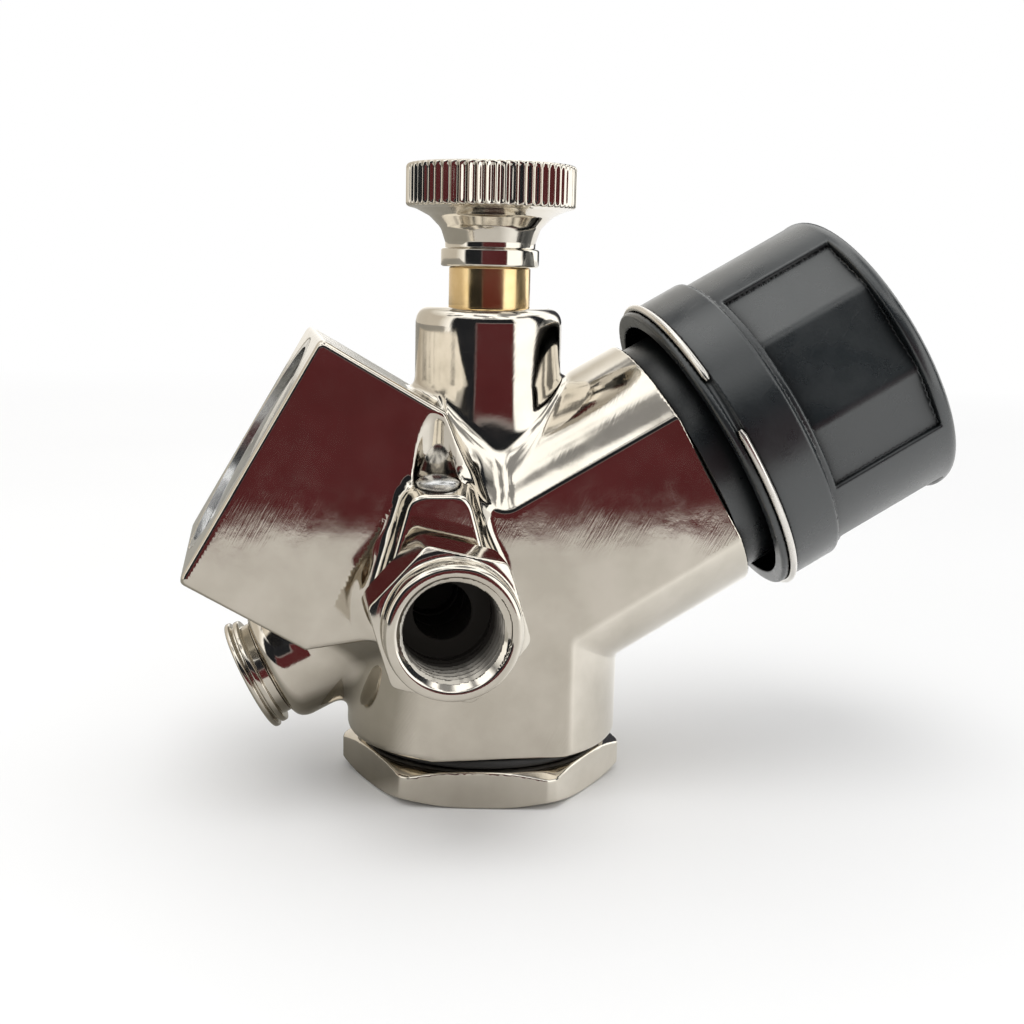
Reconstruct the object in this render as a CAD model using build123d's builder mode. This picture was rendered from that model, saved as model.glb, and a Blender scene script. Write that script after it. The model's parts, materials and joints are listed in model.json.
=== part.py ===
"""Miniature gas pressure regulator: every separate piece as its own solid.

Frame: the origin is the centre of the hexagonal inlet nut's bottom face, +Z runs up the
shut-off spindle, -Y points out of the outlet and +X is the side of the adjusting knob.
Three equal round arms meet at the hub: the column (down), the spring arm (30 degrees above
+X) and the gauge arm (30 degrees above -X).
"""
from build123d import *
import math
import os

os.makedirs("parts", exist_ok=True)

# ---------------------------------------------------------------- driving dimensions (mm)
NUT_AF = 34.0            # hexagon across flats of the inlet nut
NUT_H = 5.0
NUT_CORNER_R = 19.2      # the hexagon's corners are turned off to this radius
NUT_TURN = -10.0         # where the hexagon stopped when it was tightened
ARM_R = 18.5             # column and spring arm
FLAT_Y = 15.95           # milled flats, front and back
HUB_Z = 27.3             # where the three arm axes meet
COLUMN_Z = 6.2           # underside of the column
ARM_ANGLE = 30.0
ARM_LEN = 31.0           # hub to the spring arm's end face
BOX_H = 34.0             # gauge housing, across the arm
BOX_D = 37.0             # gauge housing, front to back
BOX_START = 19.0         # hub to where the housing is at its full section
BOX_TAPER = 8.0          # hub to where the taper dies into the round arm
BOX_END = 36.5           # hub to the housing's open end
BOSS_R = 9.75            # shut-off boss on top
BOSS_Z = 63.8
RELIEF_ANGLE = 27.0      # relief boss, down and to the left
RELIEF_RISE = 2.6        # its axis passes this far above the hub
RELIEF_R = 8.3
RELIEF_LEN = 32.5
PORT_X = -9.0
PORT_Z = 28.5
PORT_AF = 17.0
PORT_HEX_LEN = 8.8
PORT_RING_R = 8.0
PORT_FRONT_Y = 36.4
G14_MINOR_R = 5.75       # G 1/4 thread, wall at the minor diameter
TR21_MINOR_R = 8.55      # Tr 21 x 4 cylinder thread, wall at the minor diameter
RUN = 0.05               # radial running clearance

HOUSING_BEVEL = 0.9
BOSS_BEVEL = 1.4
PORT_PAD_R = 8.6         # raised pad round the outlet
PORT_PAD_Y = 17.3
RIB_Y = 22.0             # front face of the rib over the cross passage
RIB_BACK_Y = 13.0
RIB_TOP_Z = 45.5
RIB_TOP_HALF = 2.3       # half widths of the rib's front face at its top and foot
RIB_FOOT_HALF = 7.0
RIB_DRAFT = 14.0
RIB_ROUND = 0.8
SPOTFACE_R = 7.4         # flat for the sealing washer
RELIEF_ROUND = 2.0       # rounded mouth of the relief boss
FIT_GAP = 0.05           # between pieces that are fixed together
TRIM = 200               # side of the block that trims the arms to the milled flats

# inlet
SOCKET_R = 15.0          # body socket that takes the inlet nut's shank
SOCKET_TOP = 19.5
NUT_THREAD_TOP = 12.0
GASKET_R = 8.0
GASKET_T = 2.0
INLET_SEAL_CORD = 1.1
CHAMBER_R = 3.5
CHAMBER_TOP = 31.5
NUT_BEVEL = 0.7
GASKET_BORE_R = 4.5

# shut-off: depressor pin, spindle and knurled knob
PIN_R = 1.5
PIN_TIP_Z = 12.6
PIN_HEAD_R = 4.0
PIN_HEAD_T = 1.0
PIN_BEVEL = 0.4
PIN_SEAL_Z = 33.5
PIN_SEAL_R = 3.0
PIN_SEAL_CORD = 1.2
PIN_WASHER_T = 0.6
PIN_SPRING_R = 3.3
PIN_SPRING_TURNS = 4
FINE_WIRE_R = 0.3        # wire of the two small springs
SPRING_POCKET_Z = 36.0
SPINDLE_R = 5.4
SPINDLE_THREAD_R = 5.0
SPINDLE_BOTTOM = 46.0
SPINDLE_NECK_Z = 56.5    # threaded part below, smooth part above
SPINDLE_TOP = 76.0
SPINDLE_TAIL_R = 3.9     # turned-down end that carries the knob
SPINDLE_GROOVE_Z = 57.3  # seal groove
SPINDLE_GROOVE_R = 4.4
SPINDLE_GROOVE_W = 1.2
SPINDLE_SEAL_CORD = 0.98
COUNTERBORE_Z = 51.8
KNOB_Z = 69.0            # underside of the knurled knob's collar
KNOB_COLLAR_R = 6.5
KNOB_COLLAR_H = 2.3
KNOB_NECK_R = 6.0
KNOB_RIM_R = 11.2
KNOB_RIM_Z = 76.5
KNOB_TOP = 82.2
KNURL_TEETH = 60
KNURL_DEPTH = 0.45
KNOB_LIP = 1.2           # the rim stands out this far past the flare
KNOB_EDGE = 0.4          # small bevels

# adjusting side, distances from the hub along the spring arm
VALVE_START = 5.0
VALVE_BORE_R = 3.6
SEAT_S = 12.5
SEAT_R = 6.0
PISTON_FLOOR = 18.0
PISTON_BORE_R = 13.0
PISTON_S = 19.2
PISTON_LEN = 6.0
PISTON_CORD = 1.75
SEAT_BORE_R = 1.7
SEAT_CORD = 1.06
POPPET_GUIDE_R = 1.3
POPPET_STEM_R = 0.9
POPPET_SEAL_R = 2.7
POPPET_SPRING_R = 2.2
POPPET_SPRING_LEN = 3.9
POPPET_SPRING_TURNS = 4
BONNET_S = 24.4
BONNET_THREAD_R = 15.6
BONNET_R = 17.2
BONNET_END = 52.0
BONNET_BORE_R = 13.2
SPRING_WIRE_R = 1.25
SPRING_R = 9.4
SPRING_TURNS = 3.0
NUT_PLATE_S = 42.5
NUT_PLATE_T = 3.5
SCREW_R = 4.0
SCREW_BELOW = 11.0       # the screw runs this far past the spring nut
SCREW_HEAD_R = 7.0       # collar that holds the screw under the bonnet's end
SCREW_HEAD_T = 1.6
THRUST_WASHER_T = 0.9
DRIVE_AF_HALF = 3.5      # hexagonal drive for the knob
BONNET_END_T = 3.0
KEY_WIDTH = 4.2          # bonnet slots that stop the spring nut turning
GRIP_REAR = 34.4
GRIP_FRONT = 62.6
GRIP_STEP = 45.5
GRIP_COLLAR_R = 21.4
GRIP_R = 20.7
GRIP_BORE_R = 19.3
RECESS_COUNT = 3
RECESS_TURN = 161.0      # one recess faces forward and a little up
RECESS_HALF = 44.5
RECESS_R = 19.9
FACET_HALF = 19.0
RECESS_EDGE = 3.0        # its end walls lean over this angle
RECESS_LIP = 2.2         # plain band left at the knob's front
GRIP_ROUND = 1.0
GRIP_RUN = 0.15          # clearance over the bonnet
WIRE_R = 0.5
WIRE_S = 35.9
WIRE_MID_R = 21.5
WIRE_GAP = 20.0          # opening of the wire ring, degrees
WIRE_GAP_TURN = 156.0    # middle of the opening

# gauge side, distances from the hub along the gauge arm
GAUGE_FLOOR = 15.5
GAUGE_R = 15.0
BEZEL_S = 33.5
BEZEL_R = 15.8
SOCKET_Y = -10.4         # gauge socket, off the gauge's axis
SOCKET_B = 3.46
STEM_R = 2.3
STEM_LEN = 3.0
TUBE_R = 11.3
TUBE_START = 164.0       # where the curved tube leaves the socket, degrees
TUBE_SWEEP = 235.0
PLATE_S = 16.4
PLATE_T = 0.8
FRONT_PLATE_S = 26.0
ARBOR_R = 0.6
GEAR_MODULE = 0.25
PINION_TEETH = 10
SECTOR_TEETH = 60
GEAR_S = 22.0
GEAR_T = 1.2
LINK_PIN_R = 0.4
SECTOR_ANGLE = 109.0     # direction of the sector's pivot from the pointer's arbor
DIAL_S = 30.0
DIAL_R = 14.7
POINTER_S = 31.6
POINTER_ZERO = 45.0      # 7 o'clock to the reader
POINTER_LEN = 11.5
POINTER_TAIL = 2.4
POINTER_T = 0.4
TUBE_WALL = 0.35
TUBE_HALF = 0.7          # half the tube's flattened thickness
TUBE_LAND = 4.4
TIP_AHEAD = 5.5          # the tip block sits past the tube's end, degrees
PILLAR_R = 1.0
PILLAR_AT = 4.5
PIVOT_PAD_R = 1.9
DIAL_T = 0.5
LINK_T = 0.5
LINK_W = 1.5
TAIL_LEN = 2.6           # sector pivot to link pin
LENS_R = BEZEL_R - 0.1
LENS_RISE = 2.0
LENS_T = 1.3
LENS_EDGE_T = 1.2
LENS_SILL = 2.2          # flat foot of the lens that rests on its gasket

# relief boss, distances from its start over the hub
RELIEF_SEAT = 24.0
RELIEF_THREAD_R = 5.0
RELIEF_FLANGE_R = 7.7
GAS_HOLE_R = 1.3
DISC_R = 4.9             # burst disc and its washer
DISC_T = 0.3
DISC_WASHER_T = 0.7
RELIEF_GASKET_T = 0.9
RELIEF_VENT_R = 1.5

# outlet
SHANK_R = 6.45
PORT_HEX_Y = 24.0        # back of the fitting's hexagon
PORT_HEX_TURN = -13.0
PORT_HEX_CORNER_R = 9.6
G14_DEPTH = 11.0
NECK_R = 6.7
PORT_FLOOR_Y = 13.0
CROSS_Y = 10.0
PORT_BORE_R = 3.5
PORT_WASHER_T = 1.0
PORT_RIM_ROUND = 0.8
PORT_MOUTH_BEVEL = 0.9
PLUG_R = 2.75            # domed plug that closes the cross passage
PLUG_Y = 18.5
PLUG_Z = 43.1
PLUG_TILT = 20.0
PLUG_LEN = 2.4
PLUG_DOME = 1.0
SENSE_RISE = 5.54
SENSE_Y = 11.5

# ---------------------------------------------------------------- directions and planes
rise = math.radians(ARM_ANGLE)
cos_a = math.cos(rise)
sin_a = math.sin(rise)


def arm_plane(s, side=1):
    """Plane across the spring arm (side 1) or the gauge arm (side -1), s out from the hub."""
    return Plane(
        origin=(side * s * cos_a, 0, HUB_Z + s * sin_a),
        x_dir=(0, 1, 0),
        z_dir=(side * cos_a, 0, sin_a),
    )


def relief_plane(s):
    """Plane across the relief boss, s out from its start over the hub, facing outward."""
    fall = math.radians(RELIEF_ANGLE)
    return Plane(
        origin=(-s * math.cos(fall), 0, HUB_Z + RELIEF_RISE - s * math.sin(fall)),
        x_dir=(0, 1, 0),
        z_dir=(-math.cos(fall), 0, -math.sin(fall)),
    )


def port_plane(depth):
    """Plane across the outlet, depth in front of the regulator's middle, facing -Y."""
    return Plane(origin=(PORT_X, -depth, PORT_Z), x_dir=(1, 0, 0), z_dir=(0, -1, 0))


def plug_plane(rise_along):
    """Plane across the cross passage, measured up from the rib's top."""
    tilt = math.radians(PLUG_TILT)
    return Plane(
        origin=(PORT_X, -PLUG_Y - rise_along * math.sin(tilt), PLUG_Z + rise_along * math.cos(tilt)),
        x_dir=(1, 0, 0),
        z_dir=(0, -math.sin(tilt), math.cos(tilt)),
    )


def polar(radius, degrees):
    """Point at a radius and an angle."""
    turn = math.radians(degrees)
    return (radius * math.cos(turn), radius * math.sin(turn))


def dome_middle(rim_r, top, rim):
    """Point halfway along a spherical dome's profile, from its top to its rim."""
    sphere_r = (rim_r**2 + (top - rim) ** 2) / (2 * (top - rim))
    half = math.asin(rim_r / sphere_r) / 2
    return (sphere_r * math.sin(half), top - sphere_r * (1 - math.cos(half)))


def turned(plane, outline):
    """A solid of revolution about a plane's normal, from (radius, height) points."""
    with BuildPart() as made:
        with BuildSketch(Plane(origin=plane.origin, x_dir=plane.x_dir, z_dir=-plane.y_dir)):
            with BuildLine():
                Polyline(*outline, close=True)
            make_face()
        revolve(axis=Axis(plane.origin, plane.z_dir))
    return made.part


def coil(plane, mid_r, wire_r, length, turns):
    """A helical spring standing on a plane, its wire's ends cut square."""
    rise_per_turn = (length - 2 * wire_r) / turns
    foot = plane.origin + plane.z_dir * wire_r
    height = rise_per_turn * turns
    with BuildPart() as made:
        with BuildLine() as path:
            Helix(pitch=rise_per_turn, height=height, radius=mid_r, center=foot, direction=plane.z_dir)
        with BuildSketch(Plane(origin=path.line @ 0, z_dir=path.line % 0)):
            Circle(wire_r)
        sweep(path=path.line, is_frenet=True)
    return made.part


def save(part, name):
    """Label a finished piece and write its file."""
    part.label = name
    export_step(part, f"parts/{name}.step")


def ring(plane, outer, inner, height):
    """A plain ring standing on a plane."""
    with BuildPart() as made:
        with BuildSketch(plane):
            Circle(outer)
            Circle(inner, mode=Mode.SUBTRACT)
        extrude(amount=height)
    return made.part


def oring(plane, radius, cord):
    """A round-section seal ring of the given mid radius, centred on a plane."""
    with BuildPart() as made:
        with BuildSketch(Plane(origin=plane.origin, x_dir=plane.x_dir, z_dir=plane.y_dir)):
            with Locations((radius, 0)):
                Circle(cord / 2)
        revolve(axis=Axis(plane.origin, plane.z_dir))
    return made.part


# ---------------------------------------------------------------- body
# square gauge housing, tapering down into the round arm behind it
flat_half = math.sqrt(ARM_R**2 - FLAT_Y**2)
with BuildPart() as housing:
    with BuildSketch(arm_plane(BOX_TAPER, -1)):
        Rectangle(2 * FLAT_Y, 2 * flat_half)
    with BuildSketch(arm_plane(BOX_START, -1)):
        Rectangle(BOX_D, BOX_H)
    loft()
    with BuildSketch(arm_plane(BOX_START, -1)):
        Rectangle(BOX_D, BOX_H)
    extrude(amount=BOX_END - BOX_START)
    housing_axis = Axis(arm_plane(0, -1).origin, arm_plane(0, -1).z_dir)
    chamfer(housing.faces().sort_by(housing_axis)[-1].edges(), length=HOUSING_BEVEL)
    chamfer(housing.edges().filter_by(housing_axis), length=HOUSING_BEVEL)

# relief boss, rounded at its mouth
with BuildPart() as relief_boss:
    with BuildSketch(relief_plane(0)):
        Circle(RELIEF_R)
    extrude(amount=RELIEF_LEN)
    relief_axis = Axis(relief_plane(0).origin, relief_plane(0).z_dir)
    fillet(relief_boss.faces().sort_by(relief_axis)[-1].edges(), radius=RELIEF_ROUND)

# rib that carries the cross passage up to its plug, narrower at the front and flat on top
with BuildPart() as rib:
    with BuildSketch(port_plane(RIB_Y)):
        with BuildLine():
            Polyline(
                (-RIB_FOOT_HALF, 0),
                (-RIB_TOP_HALF, RIB_TOP_Z - PORT_Z),
                (RIB_TOP_HALF, RIB_TOP_Z - PORT_Z),
                (RIB_FOOT_HALF, 0),
                close=True,
            )
        make_face()
    extrude(amount=RIB_BACK_Y - RIB_Y, taper=-RIB_DRAFT)
    with BuildSketch(plug_plane(0)):
        Rectangle(2 * RIB_Y, 2 * RIB_Y)
    extrude(amount=RIB_Y, mode=Mode.SUBTRACT)
    fillet(rib.faces().sort_by(Axis.Z)[-1].edges().sort_by(Axis.Y)[0], radius=RIB_ROUND)

with BuildPart() as body:
    with BuildSketch(Plane.XY.offset(COLUMN_Z)):
        Circle(ARM_R)
    extrude(amount=HUB_Z - COLUMN_Z)
    with BuildSketch(arm_plane(0)):
        Circle(ARM_R)
    extrude(amount=ARM_LEN)
    with BuildSketch(arm_plane(0, -1)):
        Circle(ARM_R)
    extrude(amount=BOX_START)
    # milled flats, front and back
    Box(TRIM, 2 * FLAT_Y, TRIM, mode=Mode.INTERSECT)
    # shut-off boss
    with BuildSketch(Plane.XY.offset(HUB_Z)):
        Circle(BOSS_R)
    extrude(amount=BOSS_Z - HUB_Z)
    chamfer(body.faces().sort_by(Axis.Z)[-1].edges(), length=BOSS_BEVEL)
    add(housing.part)
    add(relief_boss.part)
    add(rib.part)
    # outlet pad, with a spotface for the sealing washer
    with BuildSketch(port_plane(FLAT_Y - 1)):
        Circle(PORT_PAD_R)
    extrude(amount=PORT_PAD_Y - FLAT_Y + 1)
    with BuildSketch(port_plane(PORT_PAD_Y)):
        Circle(SPOTFACE_R)
    extrude(amount=RIB_Y, mode=Mode.SUBTRACT)
    # inlet socket, gas chamber and the guide for the depressor pin
    with BuildSketch(Plane.XY.offset(COLUMN_Z)):
        Circle(SOCKET_R)
    extrude(amount=SOCKET_TOP - COLUMN_Z, mode=Mode.SUBTRACT)
    with BuildSketch(Plane.XY.offset(SOCKET_TOP)):
        Circle(CHAMBER_R)
    extrude(amount=CHAMBER_TOP - SOCKET_TOP, mode=Mode.SUBTRACT)
    with BuildSketch(Plane.XY.offset(CHAMBER_TOP)):
        Circle(PIN_R + RUN)
    extrude(amount=SPRING_POCKET_Z - CHAMBER_TOP, mode=Mode.SUBTRACT)
    with BuildSketch(Plane.XY.offset(PIN_SEAL_Z)):
        Circle(PIN_SEAL_R)
    extrude(amount=SPRING_POCKET_Z - PIN_SEAL_Z, mode=Mode.SUBTRACT)
    with BuildSketch(Plane.XY.offset(SPRING_POCKET_Z)):
        Circle(SPINDLE_THREAD_R + RUN)
    extrude(amount=BOSS_Z - SPRING_POCKET_Z, mode=Mode.SUBTRACT)
    with BuildSketch(Plane.XY.offset(COUNTERBORE_Z)):
        Circle(SPINDLE_R + RUN)
    extrude(amount=BOSS_Z - COUNTERBORE_Z, mode=Mode.SUBTRACT)
    # spring arm: valve bore, seat bush bore, piston bore and bonnet thread
    for bore_r, start, end in (
        (VALVE_BORE_R, VALVE_START, SEAT_S),
        (SEAT_R, SEAT_S, PISTON_FLOOR),
        (PISTON_BORE_R, PISTON_FLOOR, ARM_LEN),
        (BONNET_THREAD_R, BONNET_S, ARM_LEN),
    ):
        with BuildSketch(arm_plane(start)):
            Circle(bore_r)
        extrude(amount=end - start, mode=Mode.SUBTRACT)
    # gauge arm: round cavity and the socket hole in its floor
    with BuildSketch(arm_plane(GAUGE_FLOOR, -1)):
        Circle(GAUGE_R)
    extrude(amount=BOX_END - GAUGE_FLOOR, mode=Mode.SUBTRACT)
    with BuildSketch(arm_plane(BEZEL_S, -1)):
        Circle(BEZEL_R)
    extrude(amount=BOX_END - BEZEL_S, mode=Mode.SUBTRACT)
    with BuildSketch(arm_plane(GAUGE_FLOOR, -1)):
        with Locations((SOCKET_Y, SOCKET_B)):
            Circle(STEM_R + FIT_GAP)
    extrude(amount=-STEM_LEN, mode=Mode.SUBTRACT)
    with BuildSketch(arm_plane(GAUGE_FLOOR, -1)):
        with Locations((SOCKET_Y, SOCKET_B)):
            Circle(GAS_HOLE_R / 2)
    extrude(amount=-STEM_LEN - 4, mode=Mode.SUBTRACT)
    # relief bore: thread outside, gas hole through to the chamber
    with BuildSketch(relief_plane(RELIEF_SEAT)):
        Circle(RELIEF_THREAD_R)
    extrude(amount=RELIEF_LEN - RELIEF_SEAT, mode=Mode.SUBTRACT)
    with BuildSketch(relief_plane(0)):
        Circle(GAS_HOLE_R)
    extrude(amount=RELIEF_SEAT, mode=Mode.SUBTRACT)
    # outlet thread and its gas hole
    with BuildSketch(port_plane(PORT_FLOOR_Y)):
        Circle(SHANK_R)
    extrude(amount=PORT_PAD_Y - PORT_FLOOR_Y, mode=Mode.SUBTRACT)
    with BuildSketch(port_plane(CROSS_Y)):
        Circle(PORT_BORE_R)
    extrude(amount=PORT_FLOOR_Y - CROSS_Y, mode=Mode.SUBTRACT)
    # cross passage and the seat of its plug
    with BuildSketch(plug_plane(-PLUG_LEN)):
        Circle(GAS_HOLE_R)
    extrude(amount=PORT_Z - PLUG_Z + PLUG_LEN, mode=Mode.SUBTRACT)
    with BuildSketch(plug_plane(-PLUG_LEN)):
        Circle(PLUG_R + FIT_GAP)
    extrude(amount=PLUG_LEN + PLUG_DOME, mode=Mode.SUBTRACT)
    # low-pressure hole from the piston chamber to the outlet bore
    with BuildSketch(arm_plane(PISTON_FLOOR)):
        with Locations((-SENSE_Y, SENSE_RISE)):
            Circle(GAS_HOLE_R)
    extrude(amount=PORT_X / cos_a - PISTON_FLOOR + SENSE_RISE * sin_a, mode=Mode.SUBTRACT)
save(body.part, "body")


# ---------------------------------------------------------------- inlet
with BuildPart() as inlet_nut:
    with BuildSketch():
        RegularPolygon(NUT_AF / 2, 6, major_radius=False, rotation=NUT_TURN)
        Circle(NUT_CORNER_R, mode=Mode.INTERSECT)
    extrude(amount=NUT_H)
    chamfer(inlet_nut.faces().sort_by(Axis.Z)[-1].edges(), length=NUT_BEVEL)
    chamfer(inlet_nut.faces().sort_by(Axis.Z)[0].edges(), length=NUT_BEVEL)
    with BuildSketch(Plane.XY.offset(NUT_H)):
        Circle(SOCKET_R - FIT_GAP)
    extrude(amount=SOCKET_TOP - NUT_H - 0.2)
    with BuildSketch():
        Circle(TR21_MINOR_R)
    extrude(amount=NUT_THREAD_TOP, mode=Mode.SUBTRACT)
    with BuildSketch(Plane.XY.offset(NUT_THREAD_TOP)):
        Circle(GASKET_R)
    extrude(amount=GASKET_T, mode=Mode.SUBTRACT)
    with BuildSketch(Plane.XY.offset(NUT_THREAD_TOP)):
        Circle(GASKET_BORE_R)
    extrude(amount=SOCKET_TOP - NUT_THREAD_TOP, mode=Mode.SUBTRACT)
save(inlet_nut.part, "inlet_nut")

inlet_seal = oring(Plane.XY.offset((NUT_H + COLUMN_Z) / 2), SOCKET_R + 0.8, INLET_SEAL_CORD)
save(inlet_seal, "inlet_seal")
cylinder_gasket = ring(Plane.XY.offset(NUT_THREAD_TOP), GASKET_R - FIT_GAP, GASKET_BORE_R, GASKET_T)
save(cylinder_gasket, "cylinder_gasket")

# ---------------------------------------------------------------- shut-off
with BuildPart() as depressor_pin:
    with BuildSketch(Plane.XY.offset(PIN_TIP_Z)):
        Circle(PIN_R)
    extrude(amount=SPINDLE_BOTTOM - PIN_TIP_Z - FIT_GAP)
    chamfer(depressor_pin.faces().sort_by(Axis.Z)[0].edges(), length=PIN_BEVEL)
    with BuildSketch(Plane.XY.offset(SPINDLE_BOTTOM - PIN_HEAD_T - FIT_GAP)):
        Circle(PIN_HEAD_R)
    extrude(amount=PIN_HEAD_T)
save(depressor_pin.part, "depressor_pin")

pin_seal = oring(Plane.XY.offset(PIN_SEAL_Z + 1.0), PIN_R + RUN + 0.65, PIN_SEAL_CORD)
save(pin_seal, "pin_seal")
pin_washer = ring(Plane.XY.offset(SPRING_POCKET_Z), SPINDLE_THREAD_R - FIT_GAP, PIN_R + 0.2, PIN_WASHER_T)
save(pin_washer, "pin_washer")
pin_spring_z = SPRING_POCKET_Z + PIN_WASHER_T + FIT_GAP
pin_spring_len = SPINDLE_BOTTOM - PIN_HEAD_T - 2 * FIT_GAP - pin_spring_z
pin_spring = coil(
    Plane.XY.offset(pin_spring_z), PIN_SPRING_R, FINE_WIRE_R, pin_spring_len, PIN_SPRING_TURNS
)
save(pin_spring, "pin_spring")

with BuildPart() as valve_spindle:
    with BuildSketch(Plane.XY.offset(SPINDLE_BOTTOM)):
        Circle(SPINDLE_THREAD_R)
    extrude(amount=SPINDLE_NECK_Z - SPINDLE_BOTTOM)
    with BuildSketch(Plane.XY.offset(SPINDLE_NECK_Z)):
        Circle(SPINDLE_R)
    extrude(amount=KNOB_Z - SPINDLE_NECK_Z)
    with BuildSketch(Plane.XY.offset(KNOB_Z)):
        Circle(SPINDLE_TAIL_R)
    extrude(amount=SPINDLE_TOP - KNOB_Z)
    with BuildSketch(Plane.XY.offset(SPINDLE_GROOVE_Z)):
        Circle(SPINDLE_R + 1)
        Circle(SPINDLE_GROOVE_R, mode=Mode.SUBTRACT)
    extrude(amount=SPINDLE_GROOVE_W, mode=Mode.SUBTRACT)
save(valve_spindle.part, "valve_spindle")

spindle_oring = oring(
    Plane.XY.offset(SPINDLE_GROOVE_Z + SPINDLE_GROOVE_W / 2),
    SPINDLE_R - SPINDLE_SEAL_CORD / 2,
    SPINDLE_SEAL_CORD,
)
save(spindle_oring, "spindle_oring")

# knurled knob: collar, hollow flare, straight-toothed rim
with BuildPart() as valve_knob:
    with BuildSketch(Plane.XZ):
        with BuildLine():
            Line((0, KNOB_Z), (KNOB_COLLAR_R - KNOB_EDGE, KNOB_Z))
            Line((KNOB_COLLAR_R - KNOB_EDGE, KNOB_Z), (KNOB_COLLAR_R, KNOB_Z + KNOB_EDGE))
            Line((KNOB_COLLAR_R, KNOB_Z + KNOB_EDGE), (KNOB_COLLAR_R, KNOB_Z + KNOB_COLLAR_H - 0.3))
            Line((KNOB_COLLAR_R, KNOB_Z + KNOB_COLLAR_H - 0.3), (KNOB_NECK_R, KNOB_Z + KNOB_COLLAR_H))
            ThreePointArc(
                (KNOB_NECK_R, KNOB_Z + KNOB_COLLAR_H),
                (KNOB_NECK_R + 1.1, KNOB_Z + KNOB_COLLAR_H + 3.4),
                (KNOB_RIM_R - KNOB_LIP, KNOB_RIM_Z),
            )
            Line((KNOB_RIM_R - KNOB_LIP, KNOB_RIM_Z), (KNOB_RIM_R, KNOB_RIM_Z + KNOB_EDGE))
            Line((KNOB_RIM_R, KNOB_RIM_Z + KNOB_EDGE), (KNOB_RIM_R, KNOB_TOP - KNOB_LIP / 2))
            Line((KNOB_RIM_R, KNOB_TOP - KNOB_LIP / 2), (KNOB_RIM_R - KNOB_LIP, KNOB_TOP))
            Line((KNOB_RIM_R - KNOB_LIP, KNOB_TOP), (0, KNOB_TOP))
            Line((0, KNOB_TOP), (0, KNOB_Z))
        make_face()
    revolve(axis=Axis.Z)
    with BuildSketch(Plane.XY.offset(KNOB_RIM_Z)):
        with PolarLocations(KNOB_RIM_R, KNURL_TEETH):
            Rectangle(2 * KNURL_DEPTH, KNOB_RIM_R * math.pi / KNURL_TEETH, rotation=45)
    extrude(amount=KNOB_TOP - KNOB_RIM_Z, mode=Mode.SUBTRACT)
    with BuildSketch(Plane.XY.offset(KNOB_Z)):
        Circle(SPINDLE_TAIL_R + FIT_GAP)
    extrude(amount=SPINDLE_TOP - KNOB_Z, mode=Mode.SUBTRACT)
save(valve_knob.part, "valve_knob")

# ---------------------------------------------------------------- outlet
with BuildPart() as outlet_fitting:
    with BuildSketch(port_plane(PORT_FLOOR_Y + 0.3)):
        Circle(SHANK_R - FIT_GAP)
    extrude(amount=PORT_PAD_Y + 0.7 - PORT_FLOOR_Y)
    with BuildSketch(port_plane(PORT_PAD_Y + PORT_WASHER_T)):
        Circle(NECK_R)
    extrude(amount=PORT_HEX_Y - PORT_PAD_Y - PORT_WASHER_T)
    with BuildSketch(port_plane(PORT_HEX_Y)):
        RegularPolygon(PORT_AF / 2, 6, major_radius=False, rotation=PORT_HEX_TURN)
        Circle(PORT_HEX_CORNER_R, mode=Mode.INTERSECT)
    extrude(amount=PORT_HEX_LEN)
    with BuildSketch(port_plane(PORT_HEX_Y + PORT_HEX_LEN)):
        Circle(PORT_RING_R)
    extrude(amount=PORT_FRONT_Y - PORT_HEX_Y - PORT_HEX_LEN)
    fillet(outlet_fitting.faces().sort_by(Axis.Y)[0].edges(), radius=PORT_RIM_ROUND)
    with BuildSketch(port_plane(PORT_FRONT_Y - G14_DEPTH)):
        Circle(G14_MINOR_R)
    extrude(amount=G14_DEPTH, mode=Mode.SUBTRACT)
    chamfer(outlet_fitting.edges().filter_by(GeomType.CIRCLE).sort_by(Axis.Y)[0], length=PORT_MOUTH_BEVEL)
    with BuildSketch(port_plane(PORT_FLOOR_Y)):
        Circle(PORT_BORE_R)
    extrude(amount=PORT_FRONT_Y - PORT_FLOOR_Y, mode=Mode.SUBTRACT)
save(outlet_fitting.part, "outlet_fitting")

outlet_washer = ring(port_plane(PORT_PAD_Y), NECK_R + 0.6, SHANK_R, PORT_WASHER_T)
save(outlet_washer, "outlet_washer")

plug_bottom = FIT_GAP - PLUG_LEN
with BuildPart() as passage_plug:
    with BuildSketch(Plane(plug_plane(0).origin, x_dir=(1, 0, 0), z_dir=-plug_plane(0).y_dir)):
        with BuildLine():
            Line((0, PLUG_DOME), (0, plug_bottom))
            Line((0, plug_bottom), (PLUG_R, plug_bottom))
            Line((PLUG_R, plug_bottom), (PLUG_R, 0))
            ThreePointArc((PLUG_R, 0), dome_middle(PLUG_R, PLUG_DOME, 0), (0, PLUG_DOME))
        make_face()
    revolve(axis=Axis(plug_plane(0).origin, plug_plane(0).z_dir))
save(passage_plug.part, "passage_plug")

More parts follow.
